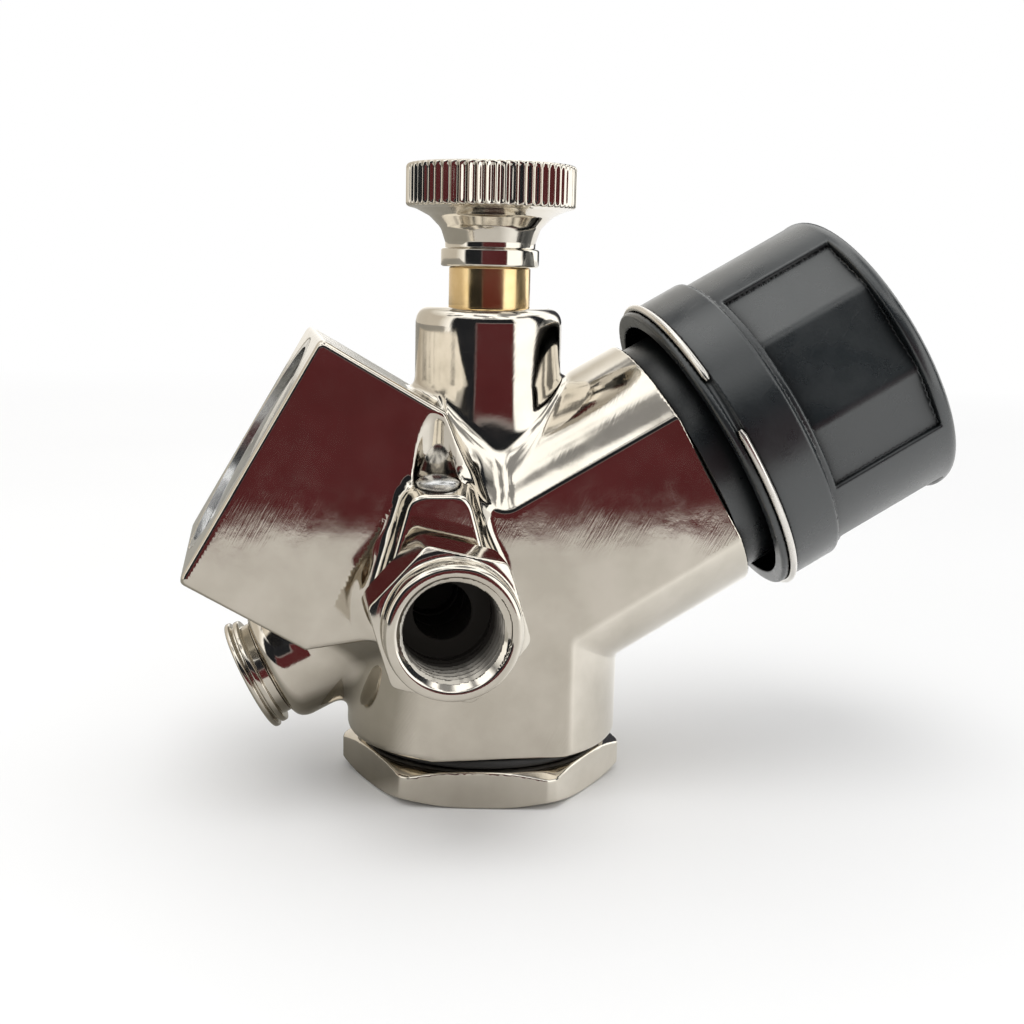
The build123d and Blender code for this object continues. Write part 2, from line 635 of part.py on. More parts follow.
# ---------------------------------------------------------------- relief
relief_gasket = ring(relief_plane(RELIEF_SEAT), RELIEF_THREAD_R - FIT_GAP, 2.0, RELIEF_GASKET_T)
save(relief_gasket, "relief_gasket")
disc_s = RELIEF_SEAT + RELIEF_GASKET_T + FIT_GAP
burst_disc = turned(relief_plane(disc_s), ((0, 0), (DISC_R, 0), (DISC_R, DISC_T), (0, DISC_T)))
save(burst_disc, "burst_disc")
disc_washer = ring(relief_plane(disc_s + DISC_T + FIT_GAP), DISC_R, 2.0, DISC_WASHER_T)
save(disc_washer, "disc_washer")
flange_s = RELIEF_LEN - RELIEF_SEAT + 1.1
relief_plug = turned(
    relief_plane(RELIEF_SEAT),
    (
        (RELIEF_VENT_R, 2.05),
        (RELIEF_THREAD_R - FIT_GAP, 2.05),
        (RELIEF_THREAD_R - FIT_GAP, flange_s - 1.05),
        (RELIEF_FLANGE_R - 1.2, flange_s - 1.05),
        (RELIEF_FLANGE_R - 1.2, flange_s),
        (RELIEF_FLANGE_R - 0.3, flange_s),
        (RELIEF_FLANGE_R, flange_s + 0.3),
        (RELIEF_FLANGE_R, flange_s + 1.4),
        (RELIEF_FLANGE_R - 0.6, flange_s + 2.0),
        (RELIEF_VENT_R, flange_s + 2.0),
    ),
)
save(relief_plug, "relief_plug")

# ---------------------------------------------------------------- regulating valve
seat_len = PISTON_FLOOR - SEAT_S
valve_seat = turned(
    arm_plane(SEAT_S),
    (
        (SEAT_BORE_R, 0),
        (SEAT_R - FIT_GAP, 0),
        (SEAT_R - FIT_GAP, 1.6),
        (SEAT_R - 1.1, 1.6),
        (SEAT_R - 1.1, 3.0),
        (SEAT_R - FIT_GAP, 3.0),
        (SEAT_R - FIT_GAP, seat_len),
        (SEAT_BORE_R, seat_len),
    ),
)
save(valve_seat, "valve_seat")
seat_oring = oring(arm_plane(SEAT_S + 2.3), SEAT_R - 0.56, SEAT_CORD)
save(seat_oring, "seat_oring")
poppet = turned(
    arm_plane(VALVE_START),
    (
        (0, 1.4),
        (POPPET_GUIDE_R, 1.4),
        (POPPET_GUIDE_R, 4.0),
        (VALVE_BORE_R - 0.5, 4.0),
        (VALVE_BORE_R - 0.5, SEAT_S - VALVE_START - 0.05),
        (POPPET_SEAL_R, SEAT_S - VALVE_START - 0.05),
        (POPPET_SEAL_R, SEAT_S - VALVE_START - 1.0),
        (POPPET_STEM_R, SEAT_S - VALVE_START - 1.0),
        (POPPET_STEM_R, PISTON_S - VALVE_START - 0.02),
        (0, PISTON_S - VALVE_START - 0.02),
    ),
)
save(poppet, "poppet")
poppet_seal = ring(arm_plane(SEAT_S - 0.99), POPPET_SEAL_R - 0.02, POPPET_STEM_R + 0.02, 0.98)
save(poppet_seal, "poppet_seal")
poppet_spring = coil(
    arm_plane(VALVE_START + 0.02), POPPET_SPRING_R, FINE_WIRE_R, POPPET_SPRING_LEN, POPPET_SPRING_TURNS
)
save(poppet_spring, "poppet_spring")

piston = turned(
    arm_plane(PISTON_S),
    (
        (0, 0),
        (PISTON_BORE_R - RUN, 0),
        (PISTON_BORE_R - RUN, 1.2),
        (PISTON_BORE_R - 1.8, 1.2),
        (PISTON_BORE_R - 1.8, 3.2),
        (PISTON_BORE_R - RUN, 3.2),
        (PISTON_BORE_R - RUN, PISTON_LEN),
        (PISTON_BORE_R - 2.0, PISTON_LEN),
        (PISTON_BORE_R - 2.0, PISTON_LEN - 2.0),
        (0, PISTON_LEN - 2.0),
    ),
)
save(piston, "piston")
piston_oring = oring(arm_plane(PISTON_S + 2.2), PISTON_BORE_R - 0.92, PISTON_CORD)
save(piston_oring, "piston_oring")

# ---------------------------------------------------------------- bonnet, spring, screw, knob
with BuildPart() as bonnet:
    with BuildSketch(arm_plane(BONNET_S + 0.1)):
        Circle(BONNET_THREAD_R - FIT_GAP)
    extrude(amount=ARM_LEN - BONNET_S)
    with BuildSketch(arm_plane(ARM_LEN + 0.05)):
        Circle(BONNET_R)
    extrude(amount=BONNET_END - ARM_LEN)
    with BuildSketch(arm_plane(BONNET_S)):
        Circle(BONNET_BORE_R)
        Rectangle(2 * BONNET_BORE_R + 2, KEY_WIDTH)
    extrude(amount=BONNET_END - BONNET_S - BONNET_END_T, mode=Mode.SUBTRACT)
    with BuildSketch(arm_plane(BONNET_END - BONNET_END_T - 1)):
        Circle(SCREW_R + RUN)
    extrude(amount=2 * BONNET_END_T, mode=Mode.SUBTRACT)
save(bonnet.part, "bonnet")

spring_s = PISTON_S + PISTON_LEN - 2.0 + FIT_GAP
spring_len = NUT_PLATE_S - spring_s - FIT_GAP
main_spring = coil(arm_plane(spring_s), SPRING_R, SPRING_WIRE_R, spring_len, SPRING_TURNS)
save(main_spring, "main_spring")

with BuildPart() as spring_nut:
    with BuildSketch(arm_plane(NUT_PLATE_S)):
        Circle(BONNET_BORE_R - 0.3)
        Rectangle(2 * BONNET_BORE_R + 1.4, KEY_WIDTH - 0.2)
        Circle(SCREW_R + RUN, mode=Mode.SUBTRACT)
    extrude(amount=NUT_PLATE_T)
save(spring_nut.part, "spring_nut")

screw_head_s = BONNET_END - BONNET_END_T - SCREW_HEAD_T - 1.0
with BuildPart() as adjusting_screw:
    with BuildSketch(arm_plane(NUT_PLATE_S - SCREW_BELOW)):
        Circle(SCREW_R)
    extrude(amount=GRIP_FRONT - 4.5 - NUT_PLATE_S + SCREW_BELOW)
    with BuildSketch(arm_plane(screw_head_s)):
        Circle(SCREW_HEAD_R)
    extrude(amount=SCREW_HEAD_T)
    with BuildSketch(arm_plane(BONNET_END + 0.5)):
        Circle(SCREW_R + 1)
        RegularPolygon(DRIVE_AF_HALF, 6, major_radius=False, mode=Mode.SUBTRACT)
    extrude(amount=SCREW_BELOW, mode=Mode.SUBTRACT)
save(adjusting_screw.part, "adjusting_screw")
washer_s = BONNET_END - BONNET_END_T - THRUST_WASHER_T - FIT_GAP
thrust_washer = ring(arm_plane(washer_s), SCREW_HEAD_R + 0.5, SCREW_R + 0.1, THRUST_WASHER_T)
save(thrust_washer, "thrust_washer")

with BuildPart() as adjusting_knob:
    with BuildSketch(arm_plane(GRIP_REAR)):
        Circle(GRIP_COLLAR_R)
    extrude(amount=GRIP_STEP - GRIP_REAR)
    with BuildSketch(arm_plane(GRIP_STEP)):
        Circle(GRIP_R)
    extrude(amount=GRIP_FRONT - GRIP_STEP)
    knob_axis = Axis(arm_plane(0).origin, arm_plane(0).z_dir)
    fillet(adjusting_knob.faces().sort_by(knob_axis)[-1].edges(), radius=GRIP_ROUND)
    # finger recesses, three facets each
    with BuildSketch(arm_plane(GRIP_STEP + 0.6)):
        for k in range(RECESS_COUNT):
            middle = RECESS_TURN + k * 360 / RECESS_COUNT
            with BuildLine():
                Polyline(
                    polar(GRIP_R + 2, middle - RECESS_HALF),
                    polar(RECESS_R, middle - RECESS_HALF + RECESS_EDGE),
                    polar(RECESS_R, middle - FACET_HALF),
                    polar(RECESS_R, middle + FACET_HALF),
                    polar(RECESS_R, middle + RECESS_HALF - RECESS_EDGE),
                    polar(GRIP_R + 2, middle + RECESS_HALF),
                    polar(GRIP_R + 9, middle),
                    close=True,
                )
            make_face()
    extrude(amount=GRIP_FRONT - GRIP_STEP - RECESS_LIP, mode=Mode.SUBTRACT)
    # hollow skirt over the bonnet, and the hexagonal drive for the screw
    with BuildSketch(arm_plane(GRIP_REAR)):
        Circle(GRIP_BORE_R)
    extrude(amount=GRIP_STEP - 2 - GRIP_REAR, mode=Mode.SUBTRACT)
    with BuildSketch(arm_plane(GRIP_REAR)):
        Circle(BONNET_R + GRIP_RUN)
    extrude(amount=BONNET_END + 0.5 - GRIP_REAR, mode=Mode.SUBTRACT)
    with BuildSketch(arm_plane(BONNET_END)):
        Circle(BONNET_R + GRIP_RUN)
        Circle(SCREW_R + 4, mode=Mode.SUBTRACT)
    extrude(amount=GRIP_FRONT - BONNET_END - 3, mode=Mode.SUBTRACT)
    with BuildSketch(arm_plane(BONNET_END)):
        RegularPolygon(DRIVE_AF_HALF + FIT_GAP, 6, major_radius=False)
    extrude(amount=GRIP_FRONT - BONNET_END - 4, mode=Mode.SUBTRACT)
    # groove for the wire ring
    with BuildSketch(arm_plane(WIRE_S - WIRE_R)):
        Circle(GRIP_COLLAR_R + 1)
        Circle(WIRE_MID_R - WIRE_R - FIT_GAP, mode=Mode.SUBTRACT)
    extrude(amount=2 * WIRE_R, mode=Mode.SUBTRACT)
save(adjusting_knob.part, "adjusting_knob")

wire_start = polar(1, WIRE_GAP_TURN + WIRE_GAP / 2)
wire_middle = arm_plane(WIRE_S)
wire_out = wire_middle.x_dir * wire_start[0] + wire_middle.y_dir * wire_start[1]
with BuildPart() as wire_ring:
    wire_plane = Plane(wire_middle.origin, x_dir=wire_out, z_dir=wire_out.cross(wire_middle.z_dir))
    with BuildSketch(wire_plane):
        with Locations((WIRE_MID_R, 0)):
            Circle(WIRE_R - 0.02)
    revolve(axis=Axis(wire_middle.origin, wire_middle.z_dir), revolution_arc=360 - WIRE_GAP)
save(wire_ring.part, "wire_ring")

# ---------------------------------------------------------------- gauge


def gauge_plane(s):
    """Plane across the gauge, s out from the hub, facing its reader."""
    return arm_plane(s, -1)


with BuildPart() as gauge_socket:
    with BuildSketch(gauge_plane(GAUGE_FLOOR - STEM_LEN + 0.05)):
        with Locations((SOCKET_Y, SOCKET_B)):
            Circle(STEM_R)
    extrude(amount=STEM_LEN)
    with BuildSketch(gauge_plane(GAUGE_FLOOR + 0.05)):
        with Locations((SOCKET_Y + 0.4, SOCKET_B)):
            Rectangle(3.6, 5.0)
    extrude(amount=8.5)
    with BuildSketch(gauge_plane(GAUGE_FLOOR - STEM_LEN)):
        with Locations((SOCKET_Y, SOCKET_B)):
            Circle(GAS_HOLE_R / 2)
    extrude(amount=7, mode=Mode.SUBTRACT)
save(gauge_socket.part, "gauge_socket")

tube_mid_s = GAUGE_FLOOR + 5.5
tube_first = TUBE_START + 13
with BuildPart() as bourdon_tube:
    for outer, mode in ((TUBE_HALF, Mode.ADD), (TUBE_HALF - TUBE_WALL, Mode.SUBTRACT)):
        start = polar(TUBE_R, tube_first)
        with BuildSketch(
            Plane(
                origin=gauge_plane(tube_mid_s).from_local_coords((start[0], start[1], 0)),
                x_dir=gauge_plane(0).from_local_coords((start[0], start[1], 0))
                - gauge_plane(0).origin,
                z_dir=gauge_plane(0).from_local_coords((-start[1], start[0], 0))
                - gauge_plane(0).origin,
            )
        ):
            SlotOverall(TUBE_LAND + 2 * outer, 2 * outer, rotation=90)
        revolve(
            axis=Axis(gauge_plane(tube_mid_s).origin, gauge_plane(0).z_dir),
            revolution_arc=TUBE_SWEEP,
            mode=mode,
        )
save(bourdon_tube.part, "bourdon_tube")

tip_angle = tube_first + TUBE_SWEEP
with BuildPart() as tube_tip:
    with BuildSketch(gauge_plane(tube_mid_s - 2.9)):
        with Locations(polar(TUBE_R, tip_angle + TIP_AHEAD)):
            Rectangle(2.0, 1.9, rotation=tip_angle)
    extrude(amount=5.8)
save(tube_tip.part, "tube_tip")

# movement: two plates on pillars, a toothed sector and the pointer's pinion
sector_pitch_r = GEAR_MODULE * SECTOR_TEETH / 2
pinion_pitch_r = GEAR_MODULE * PINION_TEETH / 2
gear_centres = sector_pitch_r + pinion_pitch_r + 0.05
pivot = polar(gear_centres, SECTOR_ANGLE)
pillars = (polar(PILLAR_AT, SECTOR_ANGLE + 75), polar(PILLAR_AT, SECTOR_ANGLE - 75))


def movement_plate(s):
    """A flat plate under the pinion, the sector's pivot and both pillars."""
    with BuildPart() as made:
        with BuildSketch(gauge_plane(s)):
            Circle(2.6)
            for place in (pivot, *pillars):
                with Locations(place):
                    Circle(PIVOT_PAD_R)
            make_hull()
            Circle(ARBOR_R + RUN, mode=Mode.SUBTRACT)
            with Locations(pivot):
                Circle(ARBOR_R + RUN, mode=Mode.SUBTRACT)
        extrude(amount=PLATE_T)
    return made.part


save(movement_plate(PLATE_S), "movement_back_plate")
save(movement_plate(FRONT_PLATE_S), "movement_front_plate")
with BuildPart() as movement_pillars:
    with BuildSketch(gauge_plane(PLATE_S + PLATE_T)):
        with Locations(*pillars):
            Circle(PILLAR_R)
    extrude(amount=FRONT_PLATE_S - PLATE_S - PLATE_T)
save(movement_pillars.part, "movement_pillars")


def tooth(pitch_r, teeth, k, first):
    """Outline points of one gear tooth, number k, on a gear centred on the origin."""
    step = 360 / teeth
    middle = first + k * step
    return (
        polar(pitch_r - 1.2 * GEAR_MODULE, middle - 0.24 * step),
        polar(pitch_r, middle - 0.18 * step),
        polar(pitch_r + 0.8 * GEAR_MODULE, middle - 0.08 * step),
        polar(pitch_r + 0.8 * GEAR_MODULE, middle + 0.08 * step),
        polar(pitch_r, middle + 0.18 * step),
        polar(pitch_r - 1.2 * GEAR_MODULE, middle + 0.24 * step),
    )


pinion_points = []
for k in range(PINION_TEETH):
    pinion_points += tooth(pinion_pitch_r, PINION_TEETH, k, SECTOR_ANGLE + 180 / PINION_TEETH)
with BuildPart() as gauge_pinion:
    with BuildSketch(gauge_plane(GEAR_S - 0.2)):
        with BuildLine():
            Polyline(*pinion_points, close=True)
        make_face()
    extrude(amount=GEAR_T + 0.4)
    with BuildSketch(gauge_plane(PLATE_S)):
        Circle(ARBOR_R)
    extrude(amount=POINTER_S - 2 * FIT_GAP - PLATE_S)
save(gauge_pinion.part, "gauge_pinion")

# the sector's teeth cover its swing from zero to full scale
swing = 270 * PINION_TEETH / SECTOR_TEETH
toothed = int((swing + 12) / 360 * SECTOR_TEETH) + 1
back_to_pinion = SECTOR_ANGLE + 180
first_tooth = back_to_pinion - swing - 6
sector_step = 360 / SECTOR_TEETH
first_tooth = back_to_pinion - sector_step * round((back_to_pinion - first_tooth) / sector_step)
sector_points = []
for k in range(toothed + 1):
    sector_points += tooth(sector_pitch_r, SECTOR_TEETH, k, first_tooth)
sector_points += [polar(1.6, first_tooth + 60), polar(1.6, first_tooth - 10)]
tail_angle = first_tooth + 20 + 180
tail_pin = polar(TAIL_LEN, tail_angle)
with BuildPart() as gauge_sector:
    with BuildSketch(gauge_plane(GEAR_S)):
        with BuildLine():
            Polyline(*[(pivot[0] + x, pivot[1] + y) for x, y in sector_points], close=True)
        make_face()
        with Locations(pivot):
            Circle(1.7)
            with Locations(polar(1.6, tail_angle)):
                Rectangle(3.6, 1.4, rotation=tail_angle)
            with Locations(tail_pin):
                Circle(LINK_PIN_R + RUN, mode=Mode.SUBTRACT)
    extrude(amount=GEAR_T)
    with BuildSketch(gauge_plane(PLATE_S)):
        with Locations(pivot):
            Circle(ARBOR_R)
    extrude(amount=FRONT_PLATE_S + PLATE_T - PLATE_S)
save(gauge_sector.part, "gauge_sector")

# the link runs from the sector's tail to the tube's tip, over which it floats
link_start = (pivot[0] + tail_pin[0], pivot[1] + tail_pin[1])
link_end = polar(TUBE_R, tip_angle + TIP_AHEAD)
link_length = math.dist(link_start, link_end)
link_turn = math.degrees(math.atan2(link_end[1] - link_start[1], link_end[0] - link_start[0]))
with BuildPart() as gauge_link:
    with BuildSketch(gauge_plane(tube_mid_s + 3.1)):
        with Locations(((link_start[0] + link_end[0]) / 2, (link_start[1] + link_end[1]) / 2)):
            SlotCenterToCenter(link_length, LINK_W, rotation=link_turn)
    extrude(amount=LINK_T)
    with BuildSketch(gauge_plane(GEAR_S)):
        with Locations(link_start):
            Circle(LINK_PIN_R)
    extrude(amount=tube_mid_s + 3.2 - GEAR_S)
save(gauge_link.part, "gauge_link")

with BuildPart() as gauge_dial:
    with BuildSketch(gauge_plane(DIAL_S)):
        Circle(DIAL_R)
        Circle(1.2, mode=Mode.SUBTRACT)
    extrude(amount=DIAL_T)
save(gauge_dial.part, "gauge_dial")

with BuildPart() as dial_posts:
    with BuildSketch(gauge_plane(FRONT_PLATE_S + PLATE_T)):
        with Locations(*pillars):
            Circle(0.9)
    extrude(amount=DIAL_S - FRONT_PLATE_S - PLATE_T)
save(dial_posts.part, "dial_posts")

with BuildPart() as gauge_pointer:
    with BuildSketch(gauge_plane(POINTER_S)):
        with BuildLine():
            Polyline(
                polar(POINTER_TAIL, POINTER_ZERO + 168),
                polar(POINTER_LEN, POINTER_ZERO + 0.5),
                polar(POINTER_LEN, POINTER_ZERO - 0.5),
                polar(POINTER_TAIL, POINTER_ZERO - 168),
                close=True,
            )
        make_face()
        Circle(1.5)
    extrude(amount=POINTER_T)
save(gauge_pointer.part, "gauge_pointer")

save(ring(gauge_plane(BEZEL_S), BEZEL_R - FIT_GAP, GAUGE_R - 1.2, 0.7), "lens_gasket")

with BuildPart() as gauge_lens:
    lens_foot = gauge_plane(BEZEL_S + 0.75)
    with BuildSketch(Plane(lens_foot.origin, x_dir=(0, 1, 0), z_dir=-lens_foot.y_dir)):
        with BuildLine():
            Line((0, LENS_RISE - LENS_T), (0, LENS_RISE))
            ThreePointArc(
                (0, LENS_RISE),
                dome_middle(LENS_R - 1.3, LENS_RISE, LENS_EDGE_T),
                (LENS_R - 1.3, LENS_EDGE_T),
            )
            Line((LENS_R - 1.3, LENS_EDGE_T), (LENS_R, LENS_EDGE_T))
            Line((LENS_R, LENS_EDGE_T), (LENS_R, 0))
            Line((LENS_R, 0), (LENS_R - LENS_SILL, 0))
            ThreePointArc(
                (LENS_R - LENS_SILL, 0),
                dome_middle(LENS_R - LENS_SILL, LENS_RISE - LENS_T, 0),
                (0, LENS_RISE - LENS_T),
            )
        make_face()
    revolve(axis=Axis(gauge_plane(0).origin, gauge_plane(0).z_dir))
save(gauge_lens.part, "gauge_lens")
save(ring(gauge_plane(BEZEL_S + 2.0), BEZEL_R - FIT_GAP, LENS_R - 1.1, 0.95), "bezel_ring")
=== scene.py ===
import json
import math

import bmesh
import bpy
import numpy as np
from mathutils import Matrix, Vector


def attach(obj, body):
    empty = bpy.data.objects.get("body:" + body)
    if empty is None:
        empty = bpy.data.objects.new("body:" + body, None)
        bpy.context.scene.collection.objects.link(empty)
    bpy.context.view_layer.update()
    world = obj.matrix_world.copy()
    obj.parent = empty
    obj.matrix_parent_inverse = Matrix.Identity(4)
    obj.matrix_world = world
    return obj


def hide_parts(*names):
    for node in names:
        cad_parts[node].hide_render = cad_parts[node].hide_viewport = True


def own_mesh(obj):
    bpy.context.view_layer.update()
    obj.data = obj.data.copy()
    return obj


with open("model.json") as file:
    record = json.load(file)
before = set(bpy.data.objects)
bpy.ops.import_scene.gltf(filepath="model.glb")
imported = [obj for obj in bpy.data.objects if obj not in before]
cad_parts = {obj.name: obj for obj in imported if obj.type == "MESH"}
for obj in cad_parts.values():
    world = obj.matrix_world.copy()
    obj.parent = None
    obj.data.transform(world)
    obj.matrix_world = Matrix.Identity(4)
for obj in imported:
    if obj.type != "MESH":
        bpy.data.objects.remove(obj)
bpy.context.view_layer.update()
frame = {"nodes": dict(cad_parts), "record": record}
nodes = frame["nodes"]
MM = 0.001

# ------------------------------------------------------------------ places, in mm
COS, SIN = math.cos(math.radians(30)), 0.5      # both upper arms rise at 30 degrees
HUB = 27.3                      # height where the three arms meet
ARM_R = 18.5
FLAT = 15.95                    # milled flats, front and back, from the middle
COLUMN_FOOT = 6.2
ARM_END = 31.0                  # hub to the spring arm's end face
HOUSING = (8.0, 19.0, 36.5)     # along the gauge arm: where it starts, is at full section, ends
BOSS_R, BOSS_TOP = 9.75, 63.8   # shut-off boss
FALL = math.radians(27.0)       # relief boss
RELIEF_Z = HUB + 2.6
RELIEF_R, RELIEF_END, RELIEF_SEAT = 8.3, 32.5, 24.0
PORT = (-9.0, 28.5)             # outlet's axis, x and z
PAD_R, PAD_FRONT = 8.6, 17.3
RIB_FRONT = 22.0
PLUG = (-9.0, -18.5, 43.1)      # plug on top of the rib
LEAN = math.radians(20.0)
PLUG_FRONT = -PLUG[1]

NUT_HALF, NUT_CORNER_R, NUT_HIGH, NUT_TURN = 17.0, 19.2, 5.0, -10.0
SOCKET_TOP = 19.5               # top of the body's socket for the nut's shank
CYLINDER_MINOR_R, CYLINDER_MAJOR_R, CYLINDER_PITCH = 8.55, 10.1, 4.0

PORT_HEX_HALF, PORT_HEX_CORNER_R, PORT_HEX_TURN = 8.5, 9.65, -13.0
PORT_HEX_BACK, PORT_HEX_FRONT = 24.0, 32.8
PORT_RING_R, PORT_RING_FRONT = 8.0, 36.4
PORT_MINOR_R, PORT_PITCH = 5.75, 1.337

GRIP_REAR, GRIP_STEP, GRIP_FRONT = 34.4, 43.3, 62.6     # along the spring arm
GRIP_COLLAR_R, GRIP_R = 21.4, 20.7
RECESS_TURN, RECESS_HALF, RECESS_SPAN = 161.0, 43.0, (44.4, 60.3)
WIRE_AT, WIRE_MID_R, WIRE_R = 35.9, 21.55, 0.5
WIRE_START, WIRE_ARC = 166, 340

KNOB_FOOT = 69.0                # underside of the knurled knob's collar
RIM_R, RIM_LOW, RIM_TOP = 11.2, 7.75, 13.2
KNURL_TEETH, KNURL_DEEP = 60, 0.42
SPINDLE_FOOT = 46.0
PIN_SPRING_FOOT = 36.66
DIAL_PRINT = (30.46, 30.54)     # the print's back and front, along the gauge arm
DIAL_ZERO, DIAL_SWEEP = -135, 270


# ------------------------------------------------------------------ distance fields
def smin(a, b, k):
    """The smaller of two distances, with the edge between them rounded over k."""
    h = np.clip(0.5 + 0.5 * (b - a) / k, 0, 1)
    return b + (a - b) * h - k * h * (1 - h)


def smax(a, b, k):
    return -smin(-a, -b, k)


def spring_frame(x, z):
    """Along and across the spring arm."""
    return x * COS + (z - HUB) * SIN, -x * SIN + (z - HUB) * COS


def gauge_frame(x, z):
    """Along and across the gauge arm; across points down."""
    return -x * COS + (z - HUB) * SIN, -x * SIN - (z - HUB) * COS


def relief_frame(x, z):
    """Along and across the relief boss."""
    up = z - RELIEF_Z
    return -x * math.cos(FALL) - up * math.sin(FALL), x * math.sin(FALL) - up * math.cos(FALL)


def span(t, low, high):
    """Distance outside a slab."""
    return np.maximum(low - t, t - high)


def hexagon(u, v, half, turn):
    """Distance outside a hexagon with a corner at angle turn."""
    d = None
    for k in range(3):
        a = math.radians(turn + 30 + 60 * k)
        f = np.abs(u * math.cos(a) + v * math.sin(a)) - half
        d = f if d is None else smax(d, f, 0.25)
    return d


def body_bores(x, y, z):
    """Distances outside each of the casting's holes."""
    s1, n1 = spring_frame(x, z)
    s2, b2 = gauge_frame(x, z)
    t, q = relief_frame(x, z)
    u, w, front = x - PORT[0], z - PORT[1], -y
    r = np.hypot(x, y)
    spring_r, gauge_r = np.hypot(n1, y), np.hypot(b2, y)
    port_r, relief_r = np.hypot(u, w), np.hypot(q, y)
    socket_r = np.hypot(y + 10.4, b2 - 3.46)
    ahead, above = front - PLUG_FRONT, z - PLUG[2]
    plug_r = np.hypot(u, ahead * math.cos(LEAN) - above * math.sin(LEAN))
    plug_rise = ahead * math.sin(LEAN) + above * math.cos(LEAN)
    return (
        np.maximum(r - 15.0, z - SOCKET_TOP),
        np.maximum(r - 3.5, z - 31.5),                              # gas chamber
        np.maximum(r - 1.55, z - 40),                               # depressor pin
        np.maximum(r - 3.0, span(z, 33.5, 37)),                     # its seal
        np.maximum(r - 5.05, 36.0 - z),                             # pin spring, spindle's thread
        np.maximum(r - 5.45, 51.8 - z),                             # spindle's smooth part
        np.maximum(spring_r - 3.6, span(s1, 5, 14)),                # poppet
        np.maximum(spring_r - 6.0, span(s1, 12.5, 19)),             # valve seat
        np.maximum(spring_r - 13.0, 18.0 - s1),                     # piston
        np.maximum(spring_r - 15.6, 24.4 - s1),                     # bonnet
        np.maximum(gauge_r - 15.0, 15.5 - s2),                      # gauge
        np.maximum(gauge_r - 15.8, 33.5 - s2),                      # its lens and bezel
        np.maximum(socket_r - 2.35, span(s2, 12.5, 16)),            # its socket
        np.maximum(relief_r - 5.0, RELIEF_SEAT - t),                # relief plug
        np.maximum(port_r - 6.45, 13.0 - front),                    # outlet's shank
        np.maximum(port_r - 3.5, 10.0 - front),                     # way to the outlet
        np.maximum(plug_r - 2.85, -2.4 - plug_rise),                # domed plug
    )


def body_field(x, y, z):
    """The plated casting. The factors under 1 bring slopes back to those of a distance."""
    s1, n1 = spring_frame(x, z)
    s2, b2 = gauge_frame(x, z)
    t, q = relief_frame(x, z)
    u, w, front = x - PORT[0], z - PORT[1], -y
    r = np.hypot(x, y)
    port_r = np.hypot(u, w)
    column = smax(r - ARM_R, span(z, COLUMN_FOOT, HUB + 3), 1.0)
    spring_arm = smax(np.hypot(n1, y) - ARM_R, span(s1, -3, ARM_END), 0.45)
    gauge_arm = np.maximum(np.hypot(b2, y) - ARM_R, span(s2, -3, 17))
    d = smin(smin(column, spring_arm, 0.35), gauge_arm, 0.9)
    d = smax(d, np.abs(y) - FLAT, 0.3)
    # square gauge housing and its taper
    start, full, end = HOUSING
    grow = np.clip((s2 - start) / (full - start), 0, 1)
    deep = (np.abs(y) - (FLAT + 2.55 * grow)) * 0.975
    tall = (np.abs(b2) - (9.4 + 7.6 * grow)) * 0.82
    box = smax(smax(deep, tall, 0.9), span(s2, start, end), 0.8)
    d = smin(d, box, 0.9)
    # shut-off boss on its flared foot
    foot = 1.9 * (np.clip(54.0 - z, 0, 12) / 10.0) ** 1.5
    boss = np.maximum(smax(r - BOSS_R - foot, z - BOSS_TOP, 2.4), HUB - z)
    d = smin(d, boss, 1.6)
    relief = np.maximum(smax(np.hypot(q, y) - RELIEF_R, t - RELIEF_END, 2.4), 6 - t)
    d = smin(d, relief, 2.6)
    # outlet pad and the rib with the cross passage
    pad = smax(port_r - PAD_R, span(front, 10, PAD_FRONT), 0.7)
    d = smin(d, pad, 2.2)
    lift = (front - PLUG_FRONT) * math.sin(LEAN) + (z - PLUG[2]) * math.cos(LEAN)
    side = (np.abs(u) - (3.5 + 0.27 * (41.8 - z) + 0.24 * (RIB_FRONT - front))) * 0.94
    reach = np.maximum(span(front, 10, RIB_FRONT), 30.0 - z)
    rib = smax(smax(side, lift, 1.9), reach, 0.55)
    d = smin(d, rib, 1.5)
    # the rib is cleared away in front of the pad, for the outlet's sealing washer
    d = smax(d, -np.maximum(port_r - 7.45, PAD_FRONT - front), 0.25)
    for bore in body_bores(x, y, z):
        d = smax(d, -bore, 0.3)
    return d


def nut_field(x, y, z):
    """The hexagonal inlet nut, its shank and the cylinder's thread."""
    r = np.hypot(x, y)
    plate = smax(hexagon(x, y, NUT_HALF, NUT_TURN), r - NUT_CORNER_R, 0.15)
    plate = smax(plate, 0.91 * (z - NUT_HIGH + 0.45 * (r - NUT_HALF)), 0.2)
    plate = smax(plate, 0.91 * (0.45 * (r - NUT_HALF) - z), 0.2)
    plate = smax(plate, span(z, 0.0, NUT_HIGH), 0.3)
    shank = np.maximum(r - 14.9, span(z, 3.0, 19.3))
    d = smin(plate, shank, 0.4)
    d = smax(d, -np.maximum(r - CYLINDER_MINOR_R, z - 12.0), 0.25)
    turn = np.arctan2(y, x) / (2 * math.pi)
    groove = np.abs(((z - 1.6) / CYLINDER_PITCH - turn) % 1.0 - 0.5) * CYLINDER_PITCH
    cut = np.maximum(r - CYLINDER_MAJOR_R, span(z, 1.4, 11.4))
    d = smax(d, -np.maximum(cut, groove - 0.9) * 0.8, 0.3)
    # seat of the cylinder's gasket, and the gas hole over it
    d = smax(d, -np.maximum(r - 8.0, span(z, 11, 14.0)), 0.2)
    return smax(d, -np.maximum(r - 4.5, 11 - z), 0.2)


